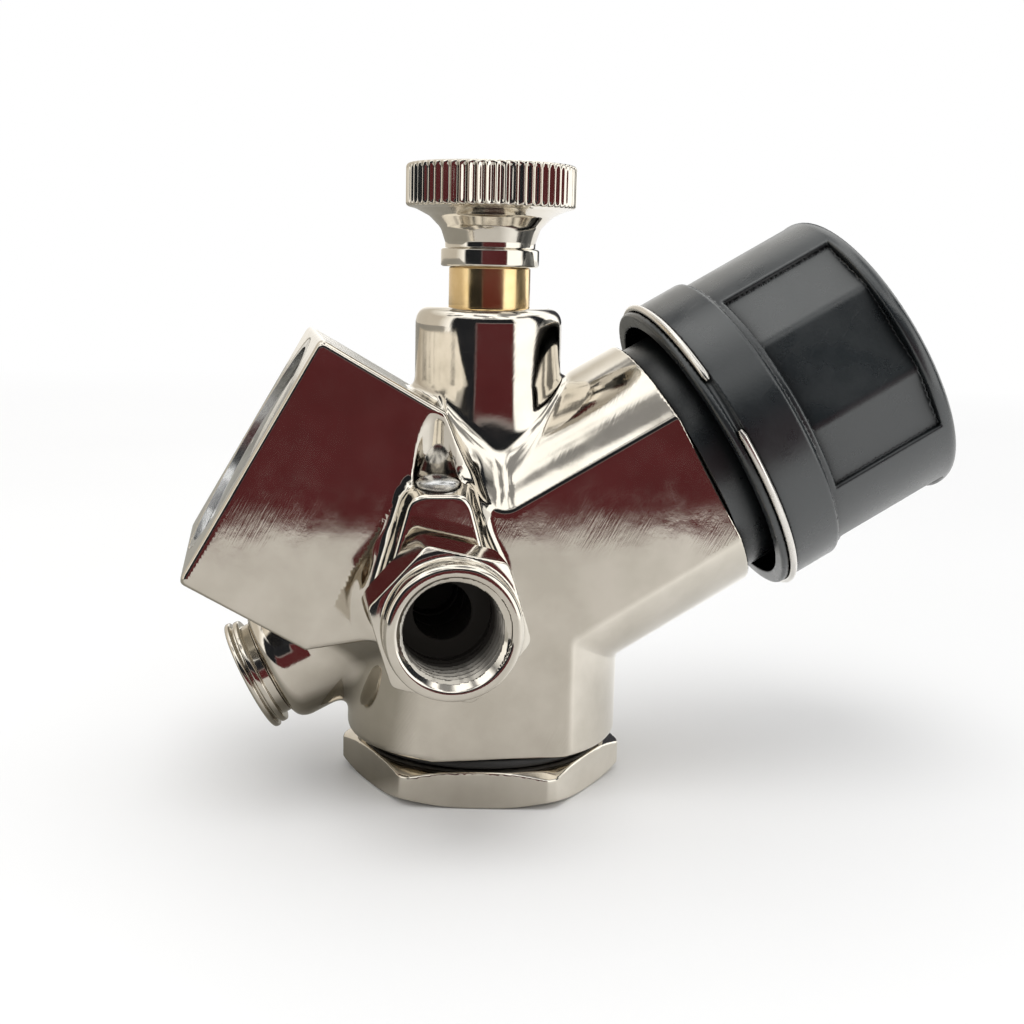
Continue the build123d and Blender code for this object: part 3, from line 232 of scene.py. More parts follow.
def outlet_field(x, y, z):
    """The outlet union: shank, neck, hexagon, rounded ring and female thread."""
    u, w, front = x - PORT[0], z - PORT[1], -y
    r = np.hypot(u, w)
    d = np.maximum(r - 6.4, span(front, 13.3, 18.3))
    d = np.minimum(d, np.maximum(r - 6.7, span(front, 18.35, 25)))
    hexa = smax(hexagon(u, w, PORT_HEX_HALF, PORT_HEX_TURN), r - PORT_HEX_CORNER_R, 0.25)
    hexa = smax(hexa, 0.87 * (front - PORT_HEX_FRONT + 0.55 * (r - 8.6)), 0.2)
    hexa = smax(hexa, 0.87 * (PORT_HEX_BACK - front + 0.55 * (r - 8.6)), 0.2)
    hexa = smax(hexa, span(front, PORT_HEX_BACK, PORT_HEX_FRONT), 0.3)
    ring = smax(r - PORT_RING_R, span(front, 26, PORT_RING_FRONT), 1.0)
    d = smin(smin(d, hexa, 0.25), ring, 0.35)
    turn = np.arctan2(w, u) / (2 * math.pi)
    wave = np.abs((front / PORT_PITCH + turn) % 1.0 - 0.5) * 2
    thread = PORT_MINOR_R + 0.8 * np.clip(1.25 * wave - 0.15, 0, 1)
    bore = np.maximum((r - thread) * 0.6, 26.6 - front)
    bore = np.minimum(bore, np.maximum(r - PORT_MINOR_R, 25.4 - front))
    bore = np.minimum(bore, 0.72 * (r - 6.75 + (PORT_RING_FRONT - front)))
    d = smax(d, -bore, 0.2)
    return smax(d, -(r - 3.5), 0.25)


def grip_field(x, y, z):
    """The black knob: collar, grip with three finger recesses, and the hollow over the bonnet."""
    s, n = spring_frame(x, z)
    r = np.hypot(y, n)
    angle = np.arctan2(n, y)
    collar = smax(r - GRIP_COLLAR_R, span(s, GRIP_REAR, GRIP_STEP), 0.6)
    grip = smax(r - GRIP_R, span(s, 40, GRIP_FRONT), 1.7)
    d = smin(collar, grip, 0.25)
    for k in range(3):
        middle = math.radians(RECESS_TURN + 120 * k)
        turn = (angle - middle + math.pi) % (2 * math.pi) - math.pi
        facets = r * np.cos(turn) - 18.75
        for side in (-1, 1):
            facets = smax(facets, r * np.cos(turn - side * math.radians(30.0)) - 19.4, 0.35)
        walls = (np.abs(turn) - math.radians(RECESS_HALF)) * r
        cut = np.maximum(np.maximum(-facets, walls), span(s, *RECESS_SPAN))
        d = smax(d, -cut, 0.5)
    skirt = smin(np.maximum(r - 19.3, s - 43.4), np.maximum(r - 17.35, s - 52.5), 0.3)
    hollow = np.maximum(np.maximum(r - 17.35, 8.0 - r), span(s, 51, 59.6))
    drive = np.maximum(r - 4.12, span(s, 51, 58.6))
    d = smax(d, -np.minimum(skirt, np.minimum(hollow, drive)), 0.4)
    groove = np.hypot(r - 21.6, s - WIRE_AT) - 0.62
    return smax(d, -groove, 0.15)


# ------------------------------------------------------------------ meshes
def mesh_object(name, points, faces, smooth_normals=None, sharp=None):
    """An object from points in mm, with given normals or with edges sharper than an angle."""
    faces = faces if isinstance(faces, list) else faces.tolist()
    mesh = bpy.data.meshes.new(name)
    mesh.from_pydata((np.asarray(points) * MM).tolist(), [], faces)
    mesh.validate()
    for p in mesh.polygons:
        p.use_smooth = True
    if smooth_normals is not None:
        mesh.normals_split_custom_set_from_vertices(smooth_normals.tolist())
    elif sharp is not None:
        mesh.set_sharp_from_angle(angle=math.radians(sharp))
    obj = bpy.data.objects.new(name, mesh)
    bpy.context.scene.collection.objects.link(obj)
    return obj


CORNERS = [(i, j, k) for k in (0, 1) for j in (0, 1) for i in (0, 1)]      # of one grid cell
EDGES = [(a, a + step) for step in (1, 2, 4) for a in range(8) if not a & step]


def gradient(field, p, e=0.02):
    g = np.zeros_like(p)
    for k in range(3):
        step = np.zeros(3)
        step[k] = e
        a, b = p + step, p - step
        g[:, k] = field(a[:, 0], a[:, 1], a[:, 2]) - field(b[:, 0], b[:, 1], b[:, 2])
    return g / (2 * e)


def sample(field, axes, slab=40):
    """The field at every grid point, worked out in slabs to save memory."""
    f = np.empty([len(a) for a in axes], np.float32)
    for i in range(0, len(axes[0]), slab):
        x, y, z = axes[0][i:i + slab, None, None], axes[1][None, :, None], axes[2][None, None, :]
        f[i:i + slab] = field(x, y, z)
    return f


def crossings(f, cells):
    """For each cell the mean of the points where the surface crosses its edges, in cells."""
    sums = np.zeros((len(cells), 3))
    hits = np.zeros(len(cells))
    for a, b in EDGES:
        ca, cb = np.array(CORNERS[a]), np.array(CORNERS[b])
        fa = f[tuple((cells + ca).T)].astype(float)
        fb = f[tuple((cells + cb).T)].astype(float)
        cross = (fa < 0) != (fb < 0)
        t = np.where(cross, fa / np.where(cross, fa - fb, 1), 0)
        sums += cross[:, None] * (ca + t[:, None] * (cb - ca))
        hits += cross
    return sums / hits[:, None]


def settle(field, points, cells, low, cell):
    """Moves points onto the surface, each within its own cell."""
    lowest, highest = low + cell * (cells + 0.04), low + cell * (cells + 0.96)
    for _ in range(3):
        value = field(points[:, 0], points[:, 1], points[:, 2])
        g = gradient(field, points)
        size = np.maximum((g**2).sum(1), 0.25)
        move = -(value / size)[:, None] * g
        points = np.clip(points + np.clip(move, -0.4 * cell, 0.4 * cell), lowest, highest)
    return points


def quads_across(inside, index, axis):
    """A quad through the four cells round each grid edge along axis that crosses the surface."""
    count = inside.shape
    o1, o2 = (axis + 1) % 3, (axis + 2) % 3
    one = [slice(1, n - 1) for n in count]
    two = list(one)
    one[axis], two[axis] = slice(0, count[axis] - 1), slice(1, count[axis])
    ia, ib = inside[tuple(one)], inside[tuple(two)]
    quads = []
    for flip, mask in ((False, ia & ~ib), (True, ~ia & ib)):
        at = np.argwhere(mask)
        at[:, o1] += 1
        at[:, o2] += 1
        quad = []
        for d1, d2 in ((0, 0), (-1, 0), (-1, -1), (0, -1)):
            c = at.copy()
            c[:, o1] += d1
            c[:, o2] += d2
            quad.append(index[tuple(c.T)])
        quad = np.stack(quad, 1)
        quads.append(quad[:, ::-1] if flip else quad)
    return quads


def skin(name, field, low, high, cell):
    """The surface of a distance field as a closed quad mesh with the field's own normals."""
    low = np.array(low, float)
    count = np.ceil((np.array(high, float) - low) / cell).astype(int) + 1
    f = sample(field, [low[k] + cell * np.arange(count[k]) for k in range(3)])
    inside = f < 0
    total = np.zeros(tuple(count - 1), np.int8)
    for i, j, k in CORNERS:
        total += inside[i:count[0] - 1 + i, j:count[1] - 1 + j, k:count[2] - 1 + k]
    active = (total > 0) & (total < 8)
    cells = np.argwhere(active)
    index = np.full(tuple(count - 1), -1, np.int64)
    index[active] = np.arange(len(cells))
    points = settle(field, low + cell * (cells + crossings(f, cells)), cells, low, cell)
    normals = gradient(field, points)
    normals /= np.maximum(np.linalg.norm(normals, axis=1), 1e-9)[:, None]
    faces = [quad for axis in range(3) for quad in quads_across(inside, index, axis)]
    return mesh_object(name, points, np.concatenate(faces), normals)


def rounded(corners, steps=5):
    """A closed (radius, height) outline from corners given as (radius, height, rounding)."""
    outline = [np.array(corner[:2], float) for corner in corners]
    out = []
    for i, (p, corner) in enumerate(zip(outline, corners)):
        rounding = corner[2]
        if rounding <= 0:
            out.append(p)
            continue
        a, b = outline[i - 1] - p, outline[(i + 1) % len(outline)] - p
        a /= np.linalg.norm(a)
        b /= np.linalg.norm(b)
        half = math.acos(np.clip(a @ b, -1, 1)) / 2
        reach = rounding / math.tan(half)
        middle = (a + b) / np.linalg.norm(a + b)
        centre = p + middle * rounding / math.sin(half)
        start, end = p + a * reach - centre, p + b * reach - centre
        turn = math.atan2(start[0] * end[1] - start[1] * end[0], start @ end)
        for k in range(steps + 1):
            c, s = math.cos(turn * k / steps), math.sin(turn * k / steps)
            out.append(centre + (c * start[0] - s * start[1], s * start[0] + c * start[1]))
    return out


def across(axis):
    """Two directions at right angles to an axis and to each other."""
    side = np.array((0.0, 1.0, 0.0))
    other = np.cross(axis, side)
    return side, other / np.linalg.norm(other)


def lathe(name, outline, origin, axis, segments=128, teeth=None, sharp=32):
    """Turns a closed (radius, height) outline about an axis; teeth(r, h, angle) gives a new radius."""
    axis, origin = np.array(axis, float), np.array(origin, float)
    side, other = across(axis)
    points, rows = [], []
    for r, h in outline:
        if r < 1e-6:
            rows.append([len(points)])
            points.append(origin + axis * h)
            continue
        row = []
        for k in range(segments):
            a = 2 * math.pi * k / segments
            rr = teeth(r, h, a) if teeth else r
            row.append(len(points))
            points.append(origin + axis * h + rr * (math.cos(a) * side + math.sin(a) * other))
        rows.append(row)
    faces = []
    for i, a in enumerate(rows):
        b = rows[(i + 1) % len(rows)]
        if len(a) == 1 and len(b) == 1:
            continue
        for k in range(segments):
            m = (k + 1) % segments
            if len(a) == 1:
                faces.append((a[0], b[m], b[k]))
            elif len(b) == 1:
                faces.append((a[k], a[m], b[0]))
            else:
                faces.append((a[k], a[m], b[m], b[k]))
    obj = mesh_object(name, points, faces, sharp=sharp)
    middle = Vector((origin * MM).tolist())
    if sum(p.normal.dot(p.center - middle) * p.area for p in obj.data.polygons) < 0:
        obj.data.flip_normals()
    return obj


def tube(name, points, sides):
    """Skins rings of points, each of so many sides, into a tube with closed ends."""
    last = len(points) - sides
    faces = []
    for ring in range(0, last, sides):
        for k in range(sides):
            m = (k + 1) % sides
            faces.append((ring + m, ring + k, ring + sides + k, ring + sides + m))
    faces.append(tuple(range(sides)))
    faces.append(tuple(last + k for k in range(sides))[::-1])
    return mesh_object(name, points, faces, sharp=50)


def sweep_ring(name, origin, axis, radius, wire, start, arc, steps=160, sides=14):
    """A round wire bent to an arc about an axis, with rounded ends. Angles are in degrees."""
    axis, origin = np.array(axis, float), np.array(origin, float)
    side, other = across(axis)
    points = []
    for i in range(steps + 1):
        a = math.radians(start + arc * i / steps)
        out = math.cos(a) * side + math.sin(a) * other
        shrink = 0.6 if i in (0, steps) else 1.0
        for k in range(sides):
            b = 2 * math.pi * k / sides
            reach = radius + shrink * wire * math.cos(b)
            points.append(origin + out * reach + axis * shrink * wire * math.sin(b))
    return tube(name, points, sides)


def coil(name, origin, axis, mid_r, wire_r, length, turns, end=0.85, steps=60, sides=12):
    """A compression spring whose end turns are closed, standing on origin along axis."""
    axis, origin = np.array(axis, float), np.array(origin, float)
    side, other = across(axis)
    count = int(turns * steps)
    points = []
    for i in range(count + 1):
        at = i / steps
        climb = min(max((at - end) / (turns - 2 * end), 0.0), 1.0)
        climb = climb * climb * (3 - 2 * climb) * 0.35 + climb * 0.65
        height = wire_r + (length - 2 * wire_r) * climb
        out = math.cos(2 * math.pi * at) * side + math.sin(2 * math.pi * at) * other
        shrink = 0.7 if i in (0, count) else 1.0
        for k in range(sides):
            b = 2 * math.pi * k / sides
            reach = mid_r + shrink * wire_r * math.cos(b)
            points.append(origin + out * reach + axis * (height + shrink * wire_r * math.sin(b)))
    return tube(name, points, sides)


def along(axis, s):
    """A point on one of the arms, s out from the hub."""
    return np.array((0, 0, HUB)) + s * np.array(axis)


# ------------------------------------------------------------------ pieces
UP = (0, 0, 1)
SPRING_AXIS = (COS, 0, SIN)
GAUGE_AXIS = (-COS, 0, SIN)
RELIEF_AXIS = (-math.cos(FALL), 0, -math.sin(FALL))
made = {}


def stands_for(obj, node, body):
    """Shows obj in place of a CAD node and lets it move with that node's body."""
    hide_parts(node)
    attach(obj, body)
    made[obj.name] = obj


# pieces skinned from a distance field: the corners of the box searched, and its cell, in mm
for name, node, body, field, low, high, cell in (
    ("regulator_casting", "body", "regulator_body", body_field,
     (-41.5, -22.9, 5.2), (37.5, 19.8, 65.0), 0.32),
    ("hex_inlet_nut", "inlet_nut", "regulator_body", nut_field,
     (-20.2, -20.2, -0.8), (20.2, 20.2, 20.2), 0.3),
    ("outlet_union", "outlet_fitting", "regulator_body", outlet_field,
     (-19.6, -37.2, 18.2), (1.6, -12.6, 39.2), 0.2),
    ("grip_knob", "adjusting_knob", "adjuster", grip_field,
     (17.5, -22.2, 24.8), (66.2, 22.2, 78.0), 0.32),
):
    stands_for(skin(name, field, low, high, cell), node, body)


def knurl(r, h, a):
    """The rim's radius with its teeth cut, fading out towards both ends."""
    if r < RIM_R - 0.6:
        return r
    ends = min(1.0, (h - 7.5) / 0.7, (RIM_TOP - h) / 0.7)
    wave = 0.5 - 0.5 * math.cos(KNURL_TEETH * a)
    return r - KNURL_DEEP * max(0.0, ends) * wave**0.8


def knurled_outline():
    """The knob's outline, with extra rows on the rim for the teeth to run out in."""
    outline = rounded([
        (0, 7.0, 0), (3.95, 7.0, 0), (3.95, 0, 0.15), (6.5, 0, 0.35), (6.5, 2.3, 0.3), (5.95, 2.45, 0.2),
        (6.0, 3.2, 0.6), (6.6, 5.0, 2.0), (8.1, 6.5, 2.0), (9.9, 7.4, 1.2), (RIM_R, RIM_LOW, 0.5),
        (RIM_R, RIM_TOP, 0.55), (0, RIM_TOP, 0),
    ])
    out = []
    for i, p in enumerate(outline):
        out.append(p)
        q = outline[(i + 1) % len(outline)]
        if min(p[0], q[0]) > RIM_R - 0.1 and abs(q[1] - p[1]) > 2:
            out += [p + t * (q - p) for t in (0.06, 0.14, 0.5, 0.86, 0.94)]
    return out


knob = lathe(
    "knurled_knob", knurled_outline(), (0, 0, KNOB_FOOT), UP, segments=720, teeth=knurl, sharp=40
)
stands_for(knob, "valve_knob", "shutoff")

spindle_outline = rounded([
    (0, 0, 0), (5.0, 0, 0.3), (5.0, 10.5, 0), (5.4, 10.5, 0.15), (5.4, 11.3, 0.1), (4.4, 11.3, 0.1),
    (4.4, 12.5, 0.1), (5.4, 12.5, 0.1), (5.4, 23.0, 0.25), (3.9, 23.0, 0.1), (3.9, 30.0, 0.2), (0, 30.0, 0),
])
spindle = lathe("brass_spindle", spindle_outline, (0, 0, SPINDLE_FOOT), UP, segments=160)
stands_for(spindle, "valve_spindle", "shutoff")

burst_outline = rounded([
    (1.5, 2.05, 0.2), (4.95, 2.05, 0.2), (4.95, 8.55, 0), (6.5, 8.55, 0.1), (6.5, 9.6, 0.1),
    (7.45, 9.6, 0.25), (7.45, 10.4, 0.2), (6.9, 10.5, 0.05), (6.9, 10.72, 0.05), (7.7, 10.8, 0.25),
    (7.7, 11.6, 0.4), (1.5, 11.6, 0.4),
])
relief_seat = np.array((0, 0, RELIEF_Z)) + RELIEF_SEAT * np.array(RELIEF_AXIS)
burst_plug = lathe("burst_plug", burst_outline, relief_seat, RELIEF_AXIS)
stands_for(burst_plug, "relief_plug", "regulator_body")


def dome(sphere_r, top, rim_degrees, step=2):
    """Points of a spherical dome's outline, from its rim up to the axis."""
    out = []
    for degrees in range(rim_degrees, 0, -step):
        a = math.radians(degrees)
        out.append((sphere_r * math.sin(a), sphere_r * math.cos(a) - (sphere_r - top)))
    return out + [(0, top)]


plug_outline = [(0, -2.35), (2.5, -2.35), (2.73, -2.1), (2.73, -0.05)] + dome(4.28, 1.0, 38)
domed_plug = lathe("domed_plug", plug_outline, PLUG, (0, -math.sin(LEAN), math.cos(LEAN)), segments=96)
stands_for(domed_plug, "passage_plug", "regulator_body")

wire = sweep_ring(
    "retaining_wire", along(SPRING_AXIS, WIRE_AT), SPRING_AXIS, WIRE_MID_R, WIRE_R, WIRE_START, WIRE_ARC
)
stands_for(wire, "wire_ring", "adjuster")

# springs: foot, axis, middle radius, wire radius, length, turns; joint that presses them, share left
for name, node, foot, axis, sizes, joint, keep in (
    ("regulating_coil", "main_spring", along(SPRING_AXIS, 23.26), SPRING_AXIS,
     (9.4, 1.25, 19.16, 4.9), "spring_nut_slide", 0.61),
    ("pin_coil", "pin_spring", (0, 0, PIN_SPRING_FOOT), UP,
     (3.3, 0.3, 8.23, 6.0), "depressor_slide", 0.455),
    ("poppet_coil", "poppet_spring", along(SPRING_AXIS, 5.03), SPRING_AXIS,
     (2.2, 0.3, 3.88, 5.0), "poppet_slide", 0.846),
):
    stands_for(coil(name, foot, axis, *sizes), node, "regulator_body")
    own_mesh(made[name])


# ------------------------------------------------------------------ gauge dial's print
DIAL_RIGHT = np.array((0, -1.0, 0))     # to the dial's reader
DIAL_OVER = np.array((SIN, 0, COS))


def dial_point(radius, degrees, s):
    """A point over the dial; degrees clockwise from the top to its reader."""
    a = math.radians(degrees)
    return along(GAUGE_AXIS, s) + radius * (math.cos(a) * DIAL_OVER + math.sin(a) * DIAL_RIGHT)


def dial_bar(points, faces, r0, r1, middle, half0, half1, steps=1):
    """A printed bar or arc between two radii, its sides closed."""
    base = len(points)
    for i in range(steps + 1):
        t = i / steps
        for radius, half in ((r0, half0), (r1, half1)):
            for s in DIAL_PRINT:
                points.append(dial_point(radius, middle + (2 * t - 1) * half, s))
    for i in range(steps):
        a, b = base + 4 * i, base + 4 * (i + 1)
        faces += [(a + 1, b + 1, b + 3, a + 3), (a, a + 2, b + 2, b)]
        faces += [(a, b, b + 1, a + 1), (a + 2, a + 3, b + 3, b + 2)]
    end = base + 4 * steps
    faces += [(base, base + 1, base + 3, base + 2), (end, end + 2, end + 3, end + 1)]


def dial_number(text, radius, degrees, size):
    """The number's own outline, laid on the dial upright to its reader."""
    curve = bpy.data.curves.new("number", "FONT")
    curve.body = text
    curve.size = size
    curve.extrude = (DIAL_PRINT[1] - DIAL_PRINT[0]) / 2
    curve.resolution_u = 4
    curve.align_x, curve.align_y = "CENTER", "CENTER"
    obj = bpy.data.objects.new("number", curve)
    bpy.context.scene.collection.objects.link(obj)
    bpy.context.view_layer.update()
    mesh = bpy.data.meshes.new_from_object(obj.evaluated_get(bpy.context.evaluated_depsgraph_get()))
    bpy.data.objects.remove(obj)
    work = bmesh.new()
    work.from_mesh(mesh)
    bmesh.ops.remove_doubles(work, verts=work.verts, dist=1e-4)
    centre = dial_point(radius, degrees, sum(DIAL_PRINT) / 2)
    ahead = np.array(GAUGE_AXIS)
    points = [centre + v.co.x * DIAL_RIGHT + v.co.y * DIAL_OVER + v.co.z * ahead for v in work.verts]
    work.verts.index_update()
    faces = [tuple(v.index for v in f.verts) for f in work.faces]
    work.free()
    bpy.data.meshes.remove(mesh)
    return points, faces


def dial_scale():
    """Forty divisions with a longer mark at every fifth and a number at every tenth."""
    points, faces = [], []
    outer = 12.75
    for k in range(41):
        degrees = DIAL_ZERO + DIAL_SWEEP * k / 40
        inner = 10.9 if k % 10 == 0 else 11.6 if k % 5 == 0 else 12.1
        half = 0.75 if k % 10 == 0 else 0.42
        dial_bar(points, faces, inner, outer, degrees, half * outer / inner, half)
    for k in range(5):
        more, extra = dial_number(str(10 * k), 8.4, DIAL_ZERO + DIAL_SWEEP * k / 4, 3.0)
        faces += [tuple(len(points) + i for i in f) for f in extra]
        points += more
    return mesh_object("dial_scale", points, faces, sharp=30)


def dial_red_arc():
    """A red band over the scale's last quarter."""
    points, faces = [], []
    quarter = DIAL_SWEEP / 4
    dial_bar(points, faces, 12.95, 13.65, DIAL_ZERO + 3.5 * quarter, quarter / 2, quarter / 2, 40)
    return mesh_object("dial_red_arc", points, faces, sharp=30)


for printed in (dial_scale(), dial_red_arc()):
    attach(printed, "regulator_body")
    made[printed.name] = printed


# ------------------------------------------------------------------ materials
def tree_of(name):
    material = bpy.data.materials.new(name)
    material.use_nodes = True
    tree = material.node_tree
    shader = tree.nodes["Principled BSDF"]
    place = tree.nodes.new("ShaderNodeTexCoord")
    return material, tree, shader, place


def noise(tree, place, scale, detail=3.0, stretch=(1, 1, 1), turn=(0, 0, 0), rough=0.55):
    """Noise drawn out along an axis: coarser by stretch in the frame turned by turn."""
    mapping = tree.nodes.new("ShaderNodeMapping")
    mapping.vector_type = "TEXTURE"
    mapping.inputs["Scale"].default_value = stretch
    mapping.inputs["Rotation"].default_value = turn
    tree.links.new(place.outputs["Object"], mapping.inputs["Vector"])
    node = tree.nodes.new("ShaderNodeTexNoise")
    node.inputs["Scale"].default_value = scale
    node.inputs["Detail"].default_value = detail
    node.inputs["Roughness"].default_value = rough
    tree.links.new(mapping.outputs["Vector"], node.inputs["Vector"])
    return node.outputs["Fac"]


def ramp(tree, value, stops):
    node = tree.nodes.new("ShaderNodeValToRGB")
    while len(node.color_ramp.elements) < len(stops):
        node.color_ramp.elements.new(0.5)
    for element, (at, colour) in zip(node.color_ramp.elements, stops):
        element.position = at
        element.color = (*colour, 1)
    tree.links.new(value, node.inputs["Fac"])
    return node.outputs["Color"]


def spread(tree, value, low, high, new_low, new_high):
    """Maps low to high onto new_low to new_high, held at both ends."""
    node = tree.nodes.new("ShaderNodeMapRange")
    for key, v in zip(("From Min", "From Max", "To Min", "To Max"), (low, high, new_low, new_high)):
        node.inputs[key].default_value = v
    tree.links.new(value, node.inputs["Value"])
    return node.outputs["Result"]


def maths(tree, kind, a, b=0.0):
    node = tree.nodes.new("ShaderNodeMath")
    node.operation = kind
    for k, v in enumerate((a, b)):
        if isinstance(v, (int, float)):
            node.inputs[k].default_value = v
        else:
            tree.links.new(v, node.inputs[k])
    return node.outputs[0]


def times(tree, *values):
    """The product of several values."""
    product = values[0]
    for value in values[1:]:
        product = maths(tree, "MULTIPLY", product, value)
    return product


def blend_colours(tree, a, b, factor):
    node = tree.nodes.new("ShaderNodeMix")
    node.data_type = "RGBA"
    for key, v in ((6, a), (7, b)):     # the two colour sockets
        if isinstance(v, tuple):
            node.inputs[key].default_value = (*v, 1)
        else:
            tree.links.new(v, node.inputs[key])
    tree.links.new(factor, node.inputs[0])
    return node.outputs[2]


def separate(tree, vector):
    node = tree.nodes.new("ShaderNodeSeparateXYZ")
    tree.links.new(vector, node.inputs[0])
    return node.outputs["X"], node.outputs["Y"], node.outputs["Z"]


def bump(tree, shader, layers):
    """layers of (height, depth in metres), stacked."""
    last = None
    for height, depth in layers:
        node = tree.nodes.new("ShaderNodeBump")
        node.inputs["Strength"].default_value = 1.0
        node.inputs["Distance"].default_value = depth
        tree.links.new(height, node.inputs["Height"])
        if last is not None:
            tree.links.new(last, node.inputs["Normal"])
        last = node.outputs["Normal"]
    tree.links.new(last, shader.inputs["Normal"])


POLISHED_ALONG = (0, -1.08, 0)      # polishing lines rise to the picture's right


def metal(name, dark, light, rough, wave=0.0, grain=0.0, scratch=0.0, turn=POLISHED_ALONG):
    """Mottled metal; wave, grain and scratch are depths in metres."""
    material, tree, shader, place = tree_of(name)
    shader.inputs["Metallic"].default_value = 1.0
    mottled = noise(tree, place, 160, 4)
    tree.links.new(ramp(tree, mottled, [(0.35, dark), (0.65, light)]), shader.inputs["Base Color"])
    cloudy = noise(tree, place, 260, 5, rough=0.65)
    tree.links.new(spread(tree, cloudy, 0.35, 0.7, *rough), shader.inputs["Roughness"])
    layers = []
    if wave:
        layers.append((noise(tree, place, 130, 1.5), wave))
    if grain:
        layers.append((noise(tree, place, 900, 3), grain))
    if scratch:
        lines = noise(tree, place, 260, 4, (1, 1, 1 / 16), turn)
        where = spread(tree, noise(tree, place, 60, 2), 0.45, 0.62, 0.0, 1.0)
        layers.append((maths(tree, "MULTIPLY", lines, where), scratch))
    bump(tree, shader, layers)
    return material


def plastic(name, dark, light, rough, grain, scratch=0.0, shade=0.0):
    """Mottled plastic or paint; grain and scratch are depths, and shade is how far
    corners darken with painted shade, all in metres."""
    material, tree, shader, place = tree_of(name)
    tint = noise(tree, place, 90, 4)
    colour = ramp(tree, tint, [(0.3, dark), (0.7, light)])
    if shade:
        # painted shade: base colour and specular fall towards black in corners and hollows, found by
        # ambient occlusion
        occlusion = tree.nodes.new("ShaderNodeAmbientOcclusion")
        occlusion.samples = 8
        occlusion.inputs["Distance"].default_value = shade
        open_air = spread(tree, occlusion.outputs["AO"], 0.45, 0.95, 0.0, 1.0)
        tree.links.new(open_air, shader.inputs["Specular IOR Level"])
        colour = blend_colours(tree, (0.003, 0.003, 0.003), colour, open_air)
    tree.links.new(colour, shader.inputs["Base Color"])
    cloudy = noise(tree, place, 180, 4, rough=0.6)
    tree.links.new(spread(tree, cloudy, 0.3, 0.7, *rough), shader.inputs["Roughness"])
    layers = [(noise(tree, place, 2200, 2), grain)]
    if scratch:
        lines = noise(tree, place, 150, 3, (1, 1 / 20, 1), (0.4, 0.3, 0.8))
        layers.append((spread(tree, lines, 0.66, 0.72, 0, 1), scratch))
    bump(tree, shader, layers)
    return material


def clear(name):
    material, tree, shader, place = tree_of(name)
    shader.inputs["Base Color"].default_value = (0.97, 0.99, 0.99, 1)
    shader.inputs["Transmission Weight"].default_value = 1.0
    shader.inputs["IOR"].default_value = 1.49
    smear = noise(tree, place, 120, 3)
    tree.links.new(spread(tree, smear, 0.4, 0.7, 0.01, 0.05), shader.inputs["Roughness"])
    return material


def painted_bore_shade(material, front, back, radius=6.7):
    """Painted shade: darkens a metal inside the outlet's bore, where little light reaches its threads.
    front and back are where along y it starts and ends, in mm."""
    tree = material.node_tree
    shader = tree.nodes["Principled BSDF"]
    place = tree.nodes.new("ShaderNodeTexCoord")
    x, y, z = separate(tree, place.outputs["Object"])
    u = maths(tree, "SUBTRACT", x, PORT[0] * MM)
    w = maths(tree, "SUBTRACT", z, PORT[1] * MM)
    square = maths(tree, "ADD", maths(tree, "MULTIPLY", u, u), maths(tree, "MULTIPLY", w, w))
    r = maths(tree, "SQRT", square)
    inside = spread(tree, r, (radius + 0.15) * MM, (radius - 0.25) * MM, 0, 1)
    deeper = spread(tree, y, front * MM, (front + 7.0) * MM, 0.35, 0.97)
    starts = spread(tree, y, (front - 0.3) * MM, (front + 0.3) * MM, 0, 1)
    ends = spread(tree, y, (back - 0.3) * MM, (back + 0.3) * MM, 1, 0)
    bore_shade = times(tree, inside, times(tree, deeper, starts, ends))
    plain = shader.inputs["Base Color"].links[0].from_socket
    # painted shade: deep in the bore the base colour goes near black, and metallic and specular fall with
    # it
    colour = blend_colours(tree, plain, (0.02, 0.017, 0.015), bore_shade)
    tree.links.new(colour, shader.inputs["Base Color"])
    tree.links.new(maths(tree, "SUBTRACT", 1.0, bore_shade), shader.inputs["Metallic"])
    tree.links.new(spread(tree, bore_shade, 0.0, 1.0, 0.5, 0.0), shader.inputs["Specular IOR Level"])


TURNED = {
    "dark": (0.62, 0.58, 0.51),
    "light": (0.70, 0.66, 0.59),
    "rough": (0.06, 0.14),
    "wave": 0.00002,
    "grain": 0.000003,
}
NICKEL = metal(
    "nickel_plate", (0.60, 0.56, 0.49), (0.68, 0.635, 0.565), (0.05, 0.12),
    wave=0.00006, grain=0.000004, scratch=0.00001,
)
NICKEL_FINE = metal("nickel_turned", **TURNED)
BRASS = metal(
    "turned_brass", (0.70, 0.50, 0.24), (0.84, 0.64, 0.36), (0.14, 0.24),
    grain=0.000006, scratch=0.000006, turn=(0, 0, 0),
)
COPPER = metal("soft_copper", (0.66, 0.40, 0.24), (0.82, 0.56, 0.34), (0.2, 0.32), grain=0.000006)
STEEL = metal("bright_steel", (0.50, 0.50, 0.50), (0.64, 0.64, 0.64), (0.16, 0.3), grain=0.000005)
WIRE = metal("drawn_wire", (0.62, 0.60, 0.56), (0.76, 0.73, 0.69), (0.2, 0.32), grain=0.000004)
BLACK = plastic(
    "black_nylon", (0.005, 0.008, 0.010), (0.010, 0.014, 0.016), (0.24, 0.34),
    grain=0.00001, scratch=0.000006, shade=0.006,
)
RUBBER = plastic(
    "seal_rubber", (0.010, 0.010, 0.010), (0.022, 0.021, 0.020), (0.45, 0.65), grain=0.00001
)
NYLON = plastic("natural_nylon", (0.70, 0.69, 0.65), (0.84, 0.83, 0.80), (0.35, 0.5), grain=0.00001)
DIAL = plastic("dial_enamel", (0.84, 0.84, 0.81), (0.90, 0.90, 0.88), (0.35, 0.45), grain=0.000004)
INK = plastic("printed_ink", (0.010, 0.010, 0.011), (0.018, 0.018, 0.020), (0.45, 0.6), grain=0.000002)
